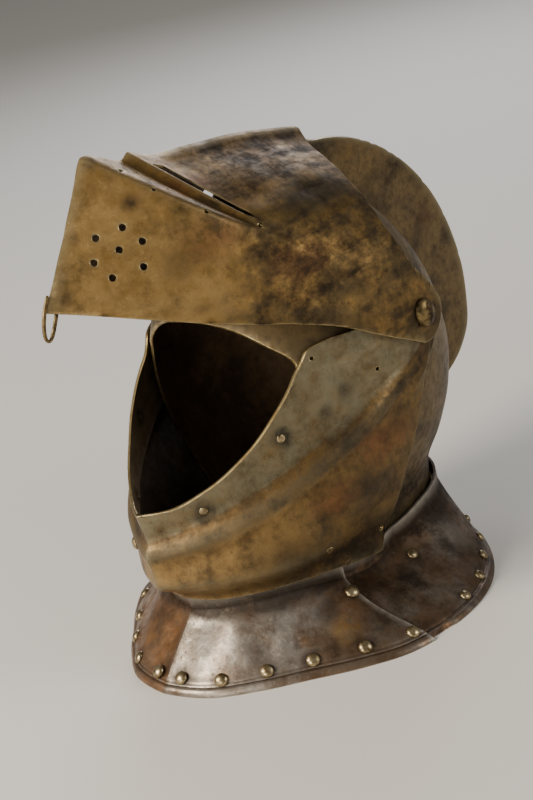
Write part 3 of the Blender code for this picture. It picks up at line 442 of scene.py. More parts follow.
def visor_point(share, angle, depth=0.0):
    """Visor point at a depth; the ledge under the sights runs out toward the sides."""
    reach = visor_reach(angle)
    low, high = LEDGE_ANGLES
    ends = VISOR_SIDES[0][0], VISOR_SIDES[-1][0]
    plain = smooth(*SIDE_SHARES, share) * (angle > ends[0]) * (angle < ends[1])
    reach = reach + (visor_side(angle) - reach) * plain
    x = share * (VISOR_HALF_WIDTH - depth)
    side = np.exp(-np.maximum(0.0, x - TENT_HALF_WIDTH) / TENT_FLOW)
    steep = smooth(low, low + 4.0, angle) * smooth(high + 2.0, high - 2.0, angle)
    prow = visor_prow(angle)
    prow = prow + (visor_side_prow(angle) - prow) * plain
    across = (reach - depth * (1.0 + 0.9 * steep)) * visor_section(share, prow)
    return polar(x, across + visor_crest(angle) * side, angle - sight_dip(share, angle))


def gorget_point(angle, level):
    """Point of the gorget surface; level 1 is the crease, 0 the rim, above 1 the collar."""
    crease = gorget_plan(angle, 3)
    neck = gorget_plan(angle, 2)
    rim = gorget_plan(angle, 1)
    reach = np.where(level > 1.0, neck, neck + (rim - neck) * flare_out(np.minimum(level, 1.0)))
    height = np.where(level > 1.0, crease + (level - 1.0) * RIM_REACH, crease * level)
    turn = np.radians(angle)
    return np.stack((reach * np.sin(turn), GORGET_AXIS_Y - reach * np.cos(turn),
                     height - HINGE_HEIGHT), axis=-1)


def gorget_normal(angle, level):
    """Outward normal of the gorget surface."""
    along = gorget_point(angle + 1.0, level) - gorget_point(angle - 1.0, level)
    down = gorget_point(angle, np.maximum(0.0, level - 0.02)) - gorget_point(angle, level + 0.02)
    normal = np.cross(along, down)
    normal = normal / np.linalg.norm(normal, axis=-1, keepdims=True)
    turn = np.radians(angle)
    facing = normal[..., 0] * np.sin(turn) - normal[..., 1] * np.cos(turn) + 0.3 * normal[..., 2]
    return normal * np.where(facing < 0.0, -1.0, 1.0)[..., None]


def slanted(angle, level):
    """Angle of a column of the gorget at a level: its seam leans back toward the rim."""
    lean = np.where(level < 1.0, smooth(1.0, 0.0, level), 0.0)
    near = smooth(0.0, FRONT_END, angle) * smooth(FRONT_END + 60.0, FRONT_END + 10.0, angle)
    return angle + SEAM_LEAN * lean * near


def grid_normals(points):
    """Outward unit normals of a grid whose rows close up and whose columns end in poles."""
    around = np.roll(points, -1, axis=0) - np.roll(points, 1, axis=0)
    across = np.empty_like(points)
    across[:, 1:-1] = points[:, 2:] - points[:, :-2]
    across[:, 0] = points[:, 1] - points[:, 0]
    across[:, -1] = points[:, -1] - points[:, -2]
    normal = np.cross(across, around)
    size = np.linalg.norm(normal, axis=-1, keepdims=True)
    pole = points * np.array((1.0, 0.0, 0.0))
    normal = np.where(size > 1e-12, normal / np.maximum(size, 1e-12),
                      pole / np.maximum(np.abs(points[..., :1]), 1e-9))
    normal[:, 0] = pole[:, 0] / np.abs(points[:, 0, :1])
    normal[:, -1] = pole[:, -1] / np.abs(points[:, -1, :1])
    facing = np.sum(normal * points, axis=-1, keepdims=True)
    return normal * np.where(facing < 0.0, -1.0, 1.0)


def mirrored(half):
    """A grid of one side, with the other side before it."""
    other = half[:, ::-1] * np.array((-1.0, 1.0, 1.0))
    return np.concatenate((other, half[:, 1:]), axis=1)


def beaten(points, dents):
    """Move points as hammer work and dents did: in along the line to the hinge."""
    size = np.maximum(np.linalg.norm(points, axis=-1, keepdims=True), 1e-6)
    inward = -points / size
    mm = points / MM
    wave = (np.sin(mm[..., 0] / 7.3 + 1.1) * np.sin(mm[..., 1] / 8.9 + 0.4)
            + np.sin(mm[..., 1] / 5.1 + mm[..., 2] / 6.7)
            + np.sin(mm[..., 2] / 9.7 - mm[..., 0] / 11.3 + 2.0))
    depth = EVEN * 0.5 * wave
    for x, y, z, radius, deep, stretch in dents:
        square = (((mm[..., 0] - x) / radius) ** 2 + ((mm[..., 2] - z) / radius) ** 2
                  + ((mm[..., 1] - y) / (radius * stretch)) ** 2)
        depth = depth + deep * MM * np.exp(-square)
    return points + inward * depth[..., None]


def only(item):
    """Select one object and nothing else, and make it the active one."""
    bpy.ops.object.select_all(action='DESELECT')
    item.select_set(True)
    bpy.context.view_layer.objects.active = item


def placed(item, name, points, materials, index):
    """Name a new piece, put its vertices in place and give all its faces one material."""
    item.name = name
    item.data.name = name
    item.data.vertices.foreach_set("co", (points + SEAT).astype(np.float32).ravel())
    for material in materials:
        item.data.materials.append(material)
    faces = np.full(len(item.data.polygons), index, np.int32)
    item.data.polygons.foreach_set("material_index", faces)
    item.location = (0.0, 0.0, 0.0)
    only(item)
    bpy.ops.object.mode_set(mode='EDIT')
    bpy.ops.mesh.select_all(action='SELECT')
    bpy.ops.mesh.remove_doubles(threshold=1e-7)
    bpy.ops.mesh.normals_make_consistent(inside=False)
    bpy.ops.mesh.select_all(action='DESELECT')
    bpy.ops.object.mode_set(mode='OBJECT')
    return item


def corner_array(item):
    """The vertex places of an object as an array."""
    co = np.empty(3 * len(item.data.vertices), np.float32)
    item.data.vertices.foreach_get("co", co)
    return co.reshape(-1, 3).astype(float)


def balloon(name, points, materials, index):
    """A closed body: a ball with its poles on the hinge line, beaten to a grid."""
    rows, columns = points.shape[:2]
    bpy.ops.object.select_all(action='DESELECT')
    bpy.ops.mesh.primitive_uv_sphere_add(segments=rows, ring_count=columns - 1, radius=1.0)
    item = bpy.context.object
    co = corner_array(item)
    ring = np.rint(np.arccos(np.clip(co[:, 2], -1, 1)) / math.pi * (columns - 1))
    turn = np.rint(np.arctan2(co[:, 1], co[:, 0]) / (2 * math.pi) * rows) % rows
    return placed(item, name, points[turn.astype(int), ring.astype(int)], materials, index)


def turned(name, profile, segments, materials, index=0):
    """A lathe body about Z from its top to its foot, at the origin of the hinge."""
    bpy.ops.object.select_all(action='DESELECT')
    bpy.ops.mesh.primitive_uv_sphere_add(segments=segments, ring_count=len(profile) - 1)
    item = bpy.context.object
    co = corner_array(item)
    ring = np.rint(np.arccos(np.clip(co[:, 2], -1, 1)) / math.pi * (len(profile) - 1)).astype(int)
    around = np.arctan2(co[:, 1], co[:, 0])
    radius = np.array([p[0] for p in profile])[ring]
    height = np.array([p[1] for p in profile])[ring]
    points = np.stack((radius * np.cos(around), radius * np.sin(around), height), axis=-1)
    return placed(item, name, points, materials, index)


def block(name, outer, inner, materials):
    """A wall between two open grids: a flat grid, extruded once and laid on both."""
    rows, columns = outer.shape[:2]
    bpy.ops.object.select_all(action='DESELECT')
    bpy.ops.mesh.primitive_grid_add(x_subdivisions=columns - 1, y_subdivisions=rows - 1, size=2.0)
    item = bpy.context.object
    bpy.ops.object.mode_set(mode='EDIT')
    bpy.ops.mesh.select_all(action='SELECT')
    bpy.ops.mesh.extrude_region_move(TRANSFORM_OT_translate={"value": (0.0, 0.0, 1.0)})
    bpy.ops.object.mode_set(mode='OBJECT')
    co = corner_array(item)
    column = np.rint((co[:, 0] + 1.0) * 0.5 * (columns - 1)).astype(int)
    row = np.rint((co[:, 1] + 1.0) * 0.5 * (rows - 1)).astype(int)
    above = co[:, 2] > 0.5
    points = np.where(above[:, None], outer[row, column], inner[row, column])
    placed(item, name, points, materials, 0)
    # Inner faces take the second material.
    for polygon in item.data.polygons:
        polygon.material_index = 0 if any(above[i] for i in polygon.vertices) else 1
    return item


def rounded(outline):
    """Points of an outline, on smooth curves between its corners."""
    rows = [np.array(row[:2]) for row in outline]
    count = len(rows)
    path = []
    for i in range(count):
        a, b = rows[i], rows[(i + 1) % count]
        span = np.linalg.norm(b - a)
        ends = []
        for here, corner, before, after in ((a, outline[i][2], rows[i - 1], b),
                                            (b, outline[(i + 1) % count][2], a,
                                             rows[(i + 2) % count])):
            if corner:
                ends.append(b - a)
                continue
            near, far = np.linalg.norm(here - before), np.linalg.norm(after - here)
            ends.append(((here - before) / near * far + (after - here) / far * near)
                        / (near + far) * span)
        for step in range(6):
            t = step / 6.0
            path.append((1 + 2 * t) * (1 - t) ** 2 * a + t * (1 - t) ** 2 * ends[0]
                        + t * t * (3 - 2 * t) * b + t * t * (t - 1) * ends[1])
    return np.array(path) * HINGE_HEIGHT


def outline_cutter(name, outline, materials):
    """A bar across the whole helmet with a side outline."""
    path = rounded(outline)
    half = 1.5 * VISOR_HALF_WIDTH
    bpy.ops.object.select_all(action='DESELECT')
    bpy.ops.mesh.primitive_circle_add(vertices=len(path), radius=1.0, fill_type='NGON')
    item = bpy.context.object
    bpy.ops.object.mode_set(mode='EDIT')
    bpy.ops.mesh.select_all(action='SELECT')
    bpy.ops.mesh.extrude_region_move(TRANSFORM_OT_translate={"value": (0.0, 0.0, 1.0)})
    bpy.ops.object.mode_set(mode='OBJECT')
    co = corner_array(item)
    start = np.arctan2(co[0, 1], co[0, 0])
    around = (np.arctan2(co[:, 1], co[:, 0]) - start) / (2 * math.pi) * len(path)
    index = np.rint(around).astype(int) % len(path)
    x = np.where(co[:, 2] > 0.5, half, -half)
    points = np.stack((x, path[index, 0], path[index, 1]), axis=-1)
    return placed(item, name, points, materials, 2)


def drill(name, place, normal, radius, materials):
    """A round cutter through a sheet."""
    profile = ((0.0, DRILL_HALF), (radius, DRILL_HALF), (radius, -DRILL_HALF),
               (0.0, -DRILL_HALF))
    item = turned(name, profile, 20, materials, 2)
    return put(item, place, normal)


def put(item, place, normal, size=1.0):
    """Move a piece that was made at the hinge's origin to its place in its mesh."""
    turn = Vector(normal).to_track_quat('Z', 'Y').to_matrix().to_4x4()
    back = Matrix.Translation(-Vector(SEAT))
    move = Matrix.Translation(Vector(place) + Vector(SEAT)) @ turn @ Matrix.Scale(size, 4) @ back
    item.data.transform(move)
    return item


def cut(item, cutter, operation='DIFFERENCE'):
    """Apply one boolean and remove its cutter."""
    modifier = item.modifiers.new("cut", 'BOOLEAN')
    modifier.operation = operation
    modifier.solver = 'MANIFOLD'
    modifier.object = cutter
    only(item)
    bpy.ops.object.modifier_apply(modifier=modifier.name)
    bpy.data.objects.remove(cutter, do_unlink=True)


def edge_faces(item):
    """For each edge: the least and greatest material number of its faces."""
    mesh = item.data
    count = len(mesh.edges)
    owner = np.empty(len(mesh.loops), np.int32)
    mesh.loops.foreach_get("edge_index", owner)
    index = np.empty(len(mesh.polygons), np.int32)
    mesh.polygons.foreach_get("material_index", index)
    total = np.empty(len(mesh.polygons), np.int32)
    mesh.polygons.foreach_get("loop_total", total)
    face = np.repeat(index, total)
    least = np.full(count, 9, np.int32)
    most = np.full(count, -1, np.int32)
    np.minimum.at(least, owner, face)
    np.maximum.at(most, owner, face)
    return least, most


def file_edges(item):
    """Round the edges where a cut face meets the sheet, and give them the cut's finish."""
    only(item)
    bpy.ops.object.mode_set(mode='EDIT')
    bpy.ops.mesh.select_all(action='SELECT')
    bpy.ops.mesh.remove_doubles(threshold=EDGE_ROUND / 4.0)
    bpy.ops.object.mode_set(mode='OBJECT')
    least, most = edge_faces(item)
    bpy.ops.object.mode_set(mode='EDIT')
    bpy.ops.mesh.select_mode(type='EDGE')
    bpy.ops.mesh.select_all(action='DESELECT')
    bpy.ops.object.mode_set(mode='OBJECT')
    item.data.edges.foreach_set("select", (most == 2) & (least < 2))
    bpy.ops.object.mode_set(mode='EDIT')
    bpy.ops.mesh.bevel(offset=EDGE_ROUND, segments=2, material=2, clamp_overlap=False)
    bpy.ops.mesh.select_all(action='DESELECT')
    bpy.ops.object.mode_set(mode='OBJECT')


# Washes of colour over a whole sheet, by the place in mm from the hinge line; the bevor's wash
# includes painted shade.
def visor_stains(x, y, z):
    """Gold on the prow, dark brown above the sights."""
    turn = np.degrees(np.arctan2(z, -y))
    return {"gold": 0.55 * smooth(54.0, 36.0, turn) * smooth(75.0, 35.0, np.abs(x)),
            "dark": np.maximum(0.56 * smooth(52.0, 70.0, turn),
                               0.56 * smooth(44.0, 70.0, np.abs(x)))}


def bevor_stains_and_shade(x, y, z):
    """Grey green above the stop, golden brown below it; painted shade under the stop and along the
    foot.
    """
    above = z + RIDGE_DROP / MM - RIDGE_SLOPE * y
    return {"bare": 0.62 * smooth(-1.0, 2.5, above),
            "gold": 0.45 * smooth(0.0, -5.0, above) * smooth(-70.0, -110.0, y),
            # Dark: painted shade on the lower foot toward its edge, and a painted shadow just
            # under the stop.
            "dark": np.maximum(0.75 * smooth(-96.0, -116.0, z) * smooth(-135.0, -100.0, y),
                               0.60 * smooth(-1.0, -5.0, above) * smooth(-14.0, -7.0, above))}


def gorget_stains(x, y, z):
    """Dark collar; copper brown on the far side of the keel, light steel on the near one."""
    front = smooth(-85.0, -105.0, y)
    return {"dark": np.maximum(1.0 * smooth(-141.0, -134.0, z), 0.4 * (1.0 - front)),
            "rust": 0.60 * front * smooth(0.5, -1.0, x),
            "bare": 0.62 * front * smooth(-0.5, 1.5, x) * smooth(84.0, 56.0, x)}


def skull_stains(x, y, z):
    """Dark round the neck."""
    return {"dark": 0.5 * smooth(-70.0, -115.0, z)}


def weather_and_painted_light(item, strokes, stains_and_shade):
    """Store how worn, how dirty and how stained each vertex is: worn where the sheet bends out,
    dirty where it bends in, stained by the washes and strokes; a few of them paint shade and
    highlights."""
    mesh = item.data
    co = corner_array(item)
    normal = np.empty(3 * len(co), np.float32)
    mesh.vertices.foreach_get("normal", normal)
    normal = normal.reshape(-1, 3)
    pair = np.empty(2 * len(mesh.edges), np.int32)
    mesh.edges.foreach_get("vertices", pair)
    pair = pair.reshape(-1, 2)
    count = np.bincount(pair.ravel(), minlength=len(co)).clip(1)
    bend = np.zeros(len(co))
    for a, b in ((0, 1), (1, 0)):
        step = co[pair[:, a]] - co[pair[:, b]]
        size = np.maximum(np.linalg.norm(step, axis=1), 2e-4)
        bend += np.bincount(pair[:, a], np.sum(normal[pair[:, a]] * step, axis=1) / size,
                            minlength=len(co))
    bend /= count
    for _ in range(2):
        around = np.zeros(len(co))
        for a, b in ((0, 1), (1, 0)):
            around += np.bincount(pair[:, a], bend[pair[:, b]], minlength=len(co))
        bend = 0.5 * bend + 0.5 * around / count
    layers = {"worn": np.clip(bend * 5.0, 0.0, 1.0), "dirt": np.clip(-bend * 5.0, 0.0, 1.0)}
    mm = (co - SEAT) / MM
    washes = stains_and_shade(mm[:, 0], mm[:, 1], mm[:, 2])
    for layer in ("dark", "gold", "rust", "bare"):
        value = np.zeros(len(co)) + washes.get(layer, 0.0)
        for kind, x, y, z, radius, stretch, strength in strokes:
            if kind != layer:
                continue
            square = (((mm[:, 0] - x) / radius) ** 2 + ((mm[:, 2] - z) / radius) ** 2
                      + ((mm[:, 1] - y) / (radius * stretch)) ** 2)
            value = np.maximum(value, strength * np.exp(-square))
        layers[layer] = value
    for layer, value in layers.items():
        attribute = mesh.attributes.new(layer, 'FLOAT', 'POINT')
        attribute.data.foreach_set("value", value.astype(np.float32))


def add(tree, kind, settings=None, links=None):
    """Add a node with its settings, and fill its sockets with values or other sockets."""
    node = tree.nodes.new("ShaderNode" + kind)
    for name, value in (settings or {}).items():
        setattr(node, name, value)
    for socket, value in (links or {}).items():
        if isinstance(value, bpy.types.NodeSocket):
            tree.links.new(value, node.inputs[socket])
        else:
            node.inputs[socket].default_value = value
    return node


def ramp(tree, factor, stops):
    """A colour band from hex colours at their places."""
    node = add(tree, "ValToRGB", links={"Fac": factor})
    band = node.color_ramp
    while len(band.elements) < len(stops):
        band.elements.new(0.5)
    for element, (place, code) in zip(band.elements, stops):
        element.position = place
        element.color = linear(code)
    return node.outputs["Color"]


def blend(tree, factor, first, second, mode='MIX'):
    """One colour over another."""
    node = add(tree, "Mix", {"data_type": 'RGBA', "blend_type": mode, "clamp_factor": True},
               {0: factor, 6: first, 7: second})
    return node.outputs[2]


def sharpen(tree, value, low, high, least=0.0, most=1.0):
    """Stretch the part of a pattern between two values."""
    node = add(tree, "MapRange", {"clamp": True},
               {"Value": value, "From Min": low, "From Max": high, "To Min": least,
                "To Max": most})
    return node.outputs["Result"]


def maths(tree, operation, first, second):
    """Two values reckoned together, kept between 0 and 1."""
    node = add(tree, "Math", {"operation": operation, "use_clamp": True}, {0: first, 1: second})
    return node.outputs["Value"]


def noise(tree, spot, size, detail=4.0, rough=0.6):
    """Cloudy pattern whose patches are about a size across."""
    node = add(tree, "TexNoise", links={"Vector": spot, "Scale": 1.0 / size, "Detail": detail,
                                        "Roughness": rough})
    return node.outputs["Fac"]


def old_steel(name, stops, dark, gold, rust, bare, metallic, rough, streak):
    """Forged steel under a brown patina of age: cloudy oxide colours, dark streaks that
    follow the hammer work, pits, and bare metal where hands and edges rubbed it."""
    material = bpy.data.materials.new(name)
    material.use_nodes = True
    tree = material.node_tree
    shader = tree.nodes["Principled BSDF"]
    spot = add(tree, "TexCoord").outputs["Object"]
    clouds = noise(tree, spot, 34 * MM, 7.0, 0.62)
    base = ramp(tree, clouds, stops)
    # Fine mottling of the oxide, a few millimetres across.
    mottle = noise(tree, spot, 5 * MM, 6.0, 0.7)
    base = blend(tree, sharpen(tree, mottle, 0.45, 0.7, 0.0, 0.55), base, linear(dark))
    # Streaks drawn out along the length of the plate.
    drawn = add(tree, "Mapping", links={"Vector": spot, "Scale": streak,
                                        "Rotation": (0.25, 0.0, 0.0)}).outputs["Vector"]
    lines = add(tree, "TexNoise", links={"Vector": drawn, "Scale": 1.0, "Detail": 5.0,
                                         "Roughness": 0.65}).outputs["Fac"]
    streaks = sharpen(tree, lines, 0.50, 0.68)
    base = blend(tree, maths(tree, 'MULTIPLY', streaks, 0.6), base, linear(dark))
    # Stains, with the painted shade and highlights that share their layers: each where the sheet
    # stores it, torn up by clouds and streaks.
    ragged = noise(tree, spot, 13 * MM, 8.0, 0.72)
    torn = add(tree, "Mix", {"data_type": 'FLOAT'}, {0: 0.35, 2: ragged, 3: lines}).outputs[0]
    broken = sharpen(tree, torn, 0.36, 0.62, -0.5, 0.5)
    for layer, code, share in (("gold", gold, 0.8), ("rust", rust, 0.6), ("bare", bare, 0.85),
                               ("dark", dark, 0.85)):
        paint = add(tree, "Attribute", {"attribute_name": layer}).outputs["Fac"]
        spread = add(tree, "Math", {"operation": 'ADD'}, {0: paint, 1: broken}).outputs["Value"]
        spread = maths(tree, 'MULTIPLY', sharpen(tree, spread, 0.10, 0.95),
                       sharpen(tree, paint, 0.02, 0.35))
        base = blend(tree, maths(tree, 'MULTIPLY', spread, share), base, linear(code))
    # Pits: small dark specks in the rougher patches.
    grain = noise(tree, spot, 1.1 * MM, 3.0, 0.6)
    pits = maths(tree, 'MULTIPLY', sharpen(tree, grain, 0.60, 0.72),
                 sharpen(tree, mottle, 0.45, 0.62))
    base = blend(tree, maths(tree, 'MULTIPLY', pits, 0.7), base, linear("1a130b"))
    dirt = add(tree, "Attribute", {"attribute_name": "dirt"}).outputs["Fac"]
    base = blend(tree, maths(tree, 'MULTIPLY', dirt, 0.85), base, linear("1d150c"))
    worn = add(tree, "Attribute", {"attribute_name": "worn"}).outputs["Fac"]
    rubbed = maths(tree, 'MULTIPLY', worn, sharpen(tree, mottle, 0.30, 0.60, 0.45, 1.0))
    base = blend(tree, rubbed, base, linear(bare))
    tree.links.new(base, shader.inputs["Base Color"])
    shader.inputs["Metallic"].default_value = metallic
    level = sharpen(tree, mottle, 0.3, 0.7, rough - 0.09, rough + 0.14)
    level = add(tree, "Math", {"operation": 'MULTIPLY_ADD', "use_clamp": True},
                {0: pits, 1: 0.25, 2: level}).outputs["Value"]
    level = add(tree, "Math", {"operation": 'MULTIPLY_ADD', "use_clamp": True},
                {0: rubbed, 1: -0.12, 2: level}).outputs["Value"]
    level = add(tree, "Math", {"operation": 'MULTIPLY_ADD', "use_clamp": True},
                {0: spread, 1: 0.28, 2: level}).outputs["Value"]
    tree.links.new(level, shader.inputs["Roughness"])
    # Relief: the planishing of the hammer, the mottled oxide and the pits.
    planish = noise(tree, spot, 9 * MM, 2.0, 0.4)
    bump = add(tree, "Bump", links={"Height": planish, "Distance": 0.0009, "Strength": 0.35})
    bump = add(tree, "Bump", links={"Height": mottle, "Distance": 0.00035, "Strength": 0.5,
                                    "Normal": bump.outputs["Normal"]})
    bump = add(tree, "Bump", {"invert": True},
               {"Height": pits, "Distance": 0.00025, "Strength": 0.6,
                "Normal": bump.outputs["Normal"]})
    tree.links.new(bump.outputs["Normal"], shader.inputs["Normal"])
    return material


def bare_steel(name, bright, dull, rough, grit):
    """Metal rubbed bare: bright, with patches of dull oxide about the grit across."""
    material = bpy.data.materials.new(name)
    material.use_nodes = True
    tree = material.node_tree
    shader = tree.nodes["Principled BSDF"]
    spot = add(tree, "TexCoord").outputs["Object"]
    cloud = noise(tree, spot, grit, 5.0, 0.65)
    base = blend(tree, sharpen(tree, cloud, 0.42, 0.62), linear(bright), linear(dull))
    tree.links.new(base, shader.inputs["Base Color"])
    shader.inputs["Metallic"].default_value = 0.9
    tree.links.new(sharpen(tree, cloud, 0.3, 0.7, rough - 0.08, rough + 0.16),
                   shader.inputs["Roughness"])
    bump = add(tree, "Bump", links={"Height": cloud, "Distance": 0.0003, "Strength": 0.5})
    tree.links.new(bump.outputs["Normal"], shader.inputs["Normal"])
    return material


# Forged steel, browned: the golden tan of the visor turns olive and dark brown above.
visor_finish = old_steel(
    "browned_visor_steel",
    ((0.30, "3a2c16"), (0.44, "665026"), (0.54, "866733"), (0.66, "6f562c"), (0.78, "43331b")),
    "20170d", "a5854f", "7c4a26", "a8946a", 0.66, 0.43, (150.0, 26.0, 110.0))
# Forged steel, browned: grey green above the stop of the bevor, golden brown below.
bevor_finish = old_steel(
    "browned_bevor_steel",
    ((0.28, "2d2314"), (0.42, "523f22"), (0.55, "6b532d"), (0.68, "57462b"), (0.80, "382d1c")),
    "1b140c", "937647", "74472a", "7b745c", 0.66, 0.44, (120.0, 30.0, 60.0))
# Forged steel, browned: grey brown skull and comb.
skull_finish = old_steel(
    "browned_skull_steel",
    ((0.28, "30261a"), (0.42, "57472c"), (0.56, "6e5a38"), (0.70, "5b4a30"), (0.82, "3a2e1e")),
    "1d160e", "86693a", "6b4628", "8f8466", 0.60, 0.47, (60.0, 40.0, 60.0))
# Forged steel, less browned: cool grey faces of the gorget with copper brown stains.
gorget_finish = old_steel(
    "stained_gorget_steel",
    ((0.28, "36281a"), (0.42, "5a412a"), (0.54, "715d49"), (0.66, "7b7267"), (0.80, "584b40")),
    "231911", "a07c48", "97693f", "9b948a", 0.78, 0.37, (60.0, 60.0, 60.0))
# Forged steel, never polished: dark brown inside the helmet.
inside_finish = old_steel(
    "blackened_inside_steel",
    ((0.30, "3d2f20"), (0.45, "574430"), (0.58, "6e573d"), (0.72, "5d4932"), (0.84, "443524")),
    "2e2418", "6b5538", "5d4029", "7a6b52", 0.15, 0.60, (60.0, 60.0, 60.0))
# Filed steel of the cut edges: tan and brighter than the sheet, duller in wide patches.
edge_finish = bare_steel("filed_edge_steel", "a8966c", "7d6a45", 0.36, 9.0 * MM)
# Worn brass of the rivet heads: pale and glossy, with dark brown tarnish in patches.
rivet_finish = bare_steel("worn_brass_rivets", "aa9a78", "54442a", 0.28, 4.0 * MM)
# Worn iron of the pivots and the lifting loop: brown, nearly black in patches.
pivot_finish = bare_steel("worn_iron_pivots", "7a6845", "33281a", 0.42, 5.0 * MM)


def rows_of(*parts):
    """Angles in stretches: start, end and step of each."""
    return np.concatenate([np.arange(start, end, step) for start, end, step in parts])


def eased(count):
    """Shares from 0 to 1, closer together at both ends."""
    t = np.linspace(0.0, 1.0, count)
    shares = 0.45 * t + 0.55 * np.sin(0.5 * math.pi * t)
    # More rings close to the pivot, where the rest would leave one wide fan.
    return np.concatenate((shares[:-1], (0.9952, 0.9980, 0.9994, 1.0)))


def sheet(name, outer, inner, outline, finish, dents):
    """A hollow sheet trimmed to its side outline."""
    materials = (finish, inside_finish, edge_finish)
    item = balloon(name, beaten(outer, dents), materials, 0)
    cut(item, balloon(name + "_hollow", beaten(inner, dents), materials, 1))
    cut(item, outline_cutter(name + "_outline", outline, materials), 'INTERSECT')
    return item, materials


def surface_normal(point, share, angle):
    """Outward normal of a polar sheet at a share and an angle."""
    along = point(min(1.0, share + 0.004), angle) - point(share - 0.004, angle)
    around = point(share, angle + 0.4) - point(share, angle - 0.4)
    normal = np.cross(along, around)
    normal = normal / np.linalg.norm(normal)
    return normal if normal @ point(share, angle) > 0.0 else -normal


def bevor_at(share, angle):
    """Bevor point of two plain numbers."""
    return bevor_point(np.array(share), np.array(angle))


def nearest(point, place):
    """Share and angle of the sheet's point that is closest to a place."""
    share, angle = np.meshgrid(np.linspace(0.0, 0.95, 191), np.linspace(20.0, 80.0, 241))
    off = np.linalg.norm(point(share, angle) - place, axis=-1)
    best = np.unravel_index(np.argmin(off), off.shape)
    return share[best], angle[best]


def sided(sign, vector):
    """A place or direction of the left side, on either side."""
    return np.array((sign * vector[0], vector[1], vector[2]))


# Visor.
shares = eased(52)
angles = rows_of((-60.0, 0.0, 3.0), (0.0, 16.0, 1.6), (16.0, 44.0, 0.8), (44.0, 58.0, 0.35),
                 (58.0, 110.0, 0.9), (110.0, 300.0, 5.0))
share_grid, angle_grid = np.meshgrid(shares, angles)
visor_outer = mirrored(visor_point(share_grid, angle_grid))
visor_inner = mirrored(visor_point(share_grid, angle_grid, PLATE))
visor, visor_materials = sheet("visor_sheet", visor_outer, visor_inner, VISOR_OUTLINE,
                               visor_finish, VISOR_DENTS)

# Bevor.
angles = rows_of((-340.0, -110.0, 5.0), (-110.0, -60.0, 1.2), (-60.0, -20.0, 0.55),
                 (-20.0, 15.0, 0.9))
share_grid, angle_grid = np.meshgrid(eased(48), angles)
bevor_outer = mirrored(bevor_point(share_grid, angle_grid))
bevor_inner = bevor_outer - grid_normals(bevor_outer) * PLATE
bevor, bevor_materials = sheet("bevor_sheet", bevor_outer, bevor_inner, BEVOR_OUTLINE,
                               bevor_finish, BEVOR_DENTS)

# Skull with its hollow comb: tilts down the bowl, then steps up the comb.
angles = rows_of((0.0, 16.0, 3.0), (16.0, 232.0, 1.1), (232.0, 290.0, 1.6), (290.0, 358.0, 4.0))
tilts = np.concatenate((np.linspace(0.0, 70.0, 34), (72.0, 74.5, 77.0, 79.5)))
tilt_grid, angle_grid = np.meshgrid(np.radians(tilts), angles)
turn_grid = np.radians(angle_grid)
direction = (np.cos(tilt_grid), -np.sin(tilt_grid) * np.cos(turn_grid),
             np.sin(tilt_grid) * np.sin(turn_grid))
bowl = np.stack(direction, axis=-1) * bowl_reach(direction)[..., None]
bowl_deep = bowl * (1.0 - PLATE / np.linalg.norm(bowl, axis=-1, keepdims=True))
steps = np.array((0.0, 0.012, 0.03, 0.06, 0.10, 0.16, 0.24, 0.33, 0.43, 0.53, 0.63, 0.73, 0.82,
                  0.90, 0.96, 1.0))
step_grid, angle_grid = np.meshgrid(steps, angles)
turn_grid = np.radians(angle_grid)
bare_reach = bowl_reach((0.0 * turn_grid, -np.cos(turn_grid), np.sin(turn_grid)))
height = comb_height(angle_grid)
wall = np.minimum(1.0, height / COMB_HOLLOW)
half = (COMB_HALF_TOP + (COMB_HALF_FOOT - COMB_HALF_TOP) * (1.0 - step_grid)
        + (COMB_FILLET - COMB_HALF_FOOT) * np.exp(-step_grid / 0.045))
comb = polar(half, bare_reach - COMB_SINK + step_grid * (height + COMB_SINK), angle_grid)
thin = wall * PLATE * (0.70 * smooth(0.0, 0.1, step_grid) + 0.10 * step_grid)
comb_deep = polar(half - thin, bare_reach - COMB_SINK + step_grid * (height + COMB_SINK)
                  - PLATE * (1.0 + 1.2 * wall * step_grid), angle_grid)
crown = polar(0.0, (bare_reach + height + COMB_CROWN * wall)[:, :1], angle_grid[:, :1])
crown_deep = polar(0.0, (bare_reach + height - PLATE * (1.0 + 1.2 * wall))[:, :1],
                   angle_grid[:, :1])
half_outer = np.concatenate((bowl, comb, crown), axis=1)[:, ::-1]
half_inner = np.concatenate((bowl_deep, comb_deep, crown_deep), axis=1)[:, ::-1]
skull, skull_materials = sheet("skull_sheet", mirrored(half_outer), mirrored(half_inner),
                               SKULL_OUTLINE, skull_finish, SKULL_DENTS)


def pierce(item, materials, point, share, angle, sign, radius):
    """Drill a hole square through a sheet, on one side of the helmet."""
    place = sided(sign, point(share, angle))
    normal = sided(sign, surface_normal(point, share, angle))
    cut(item, drill("hole", place, normal, radius, materials))


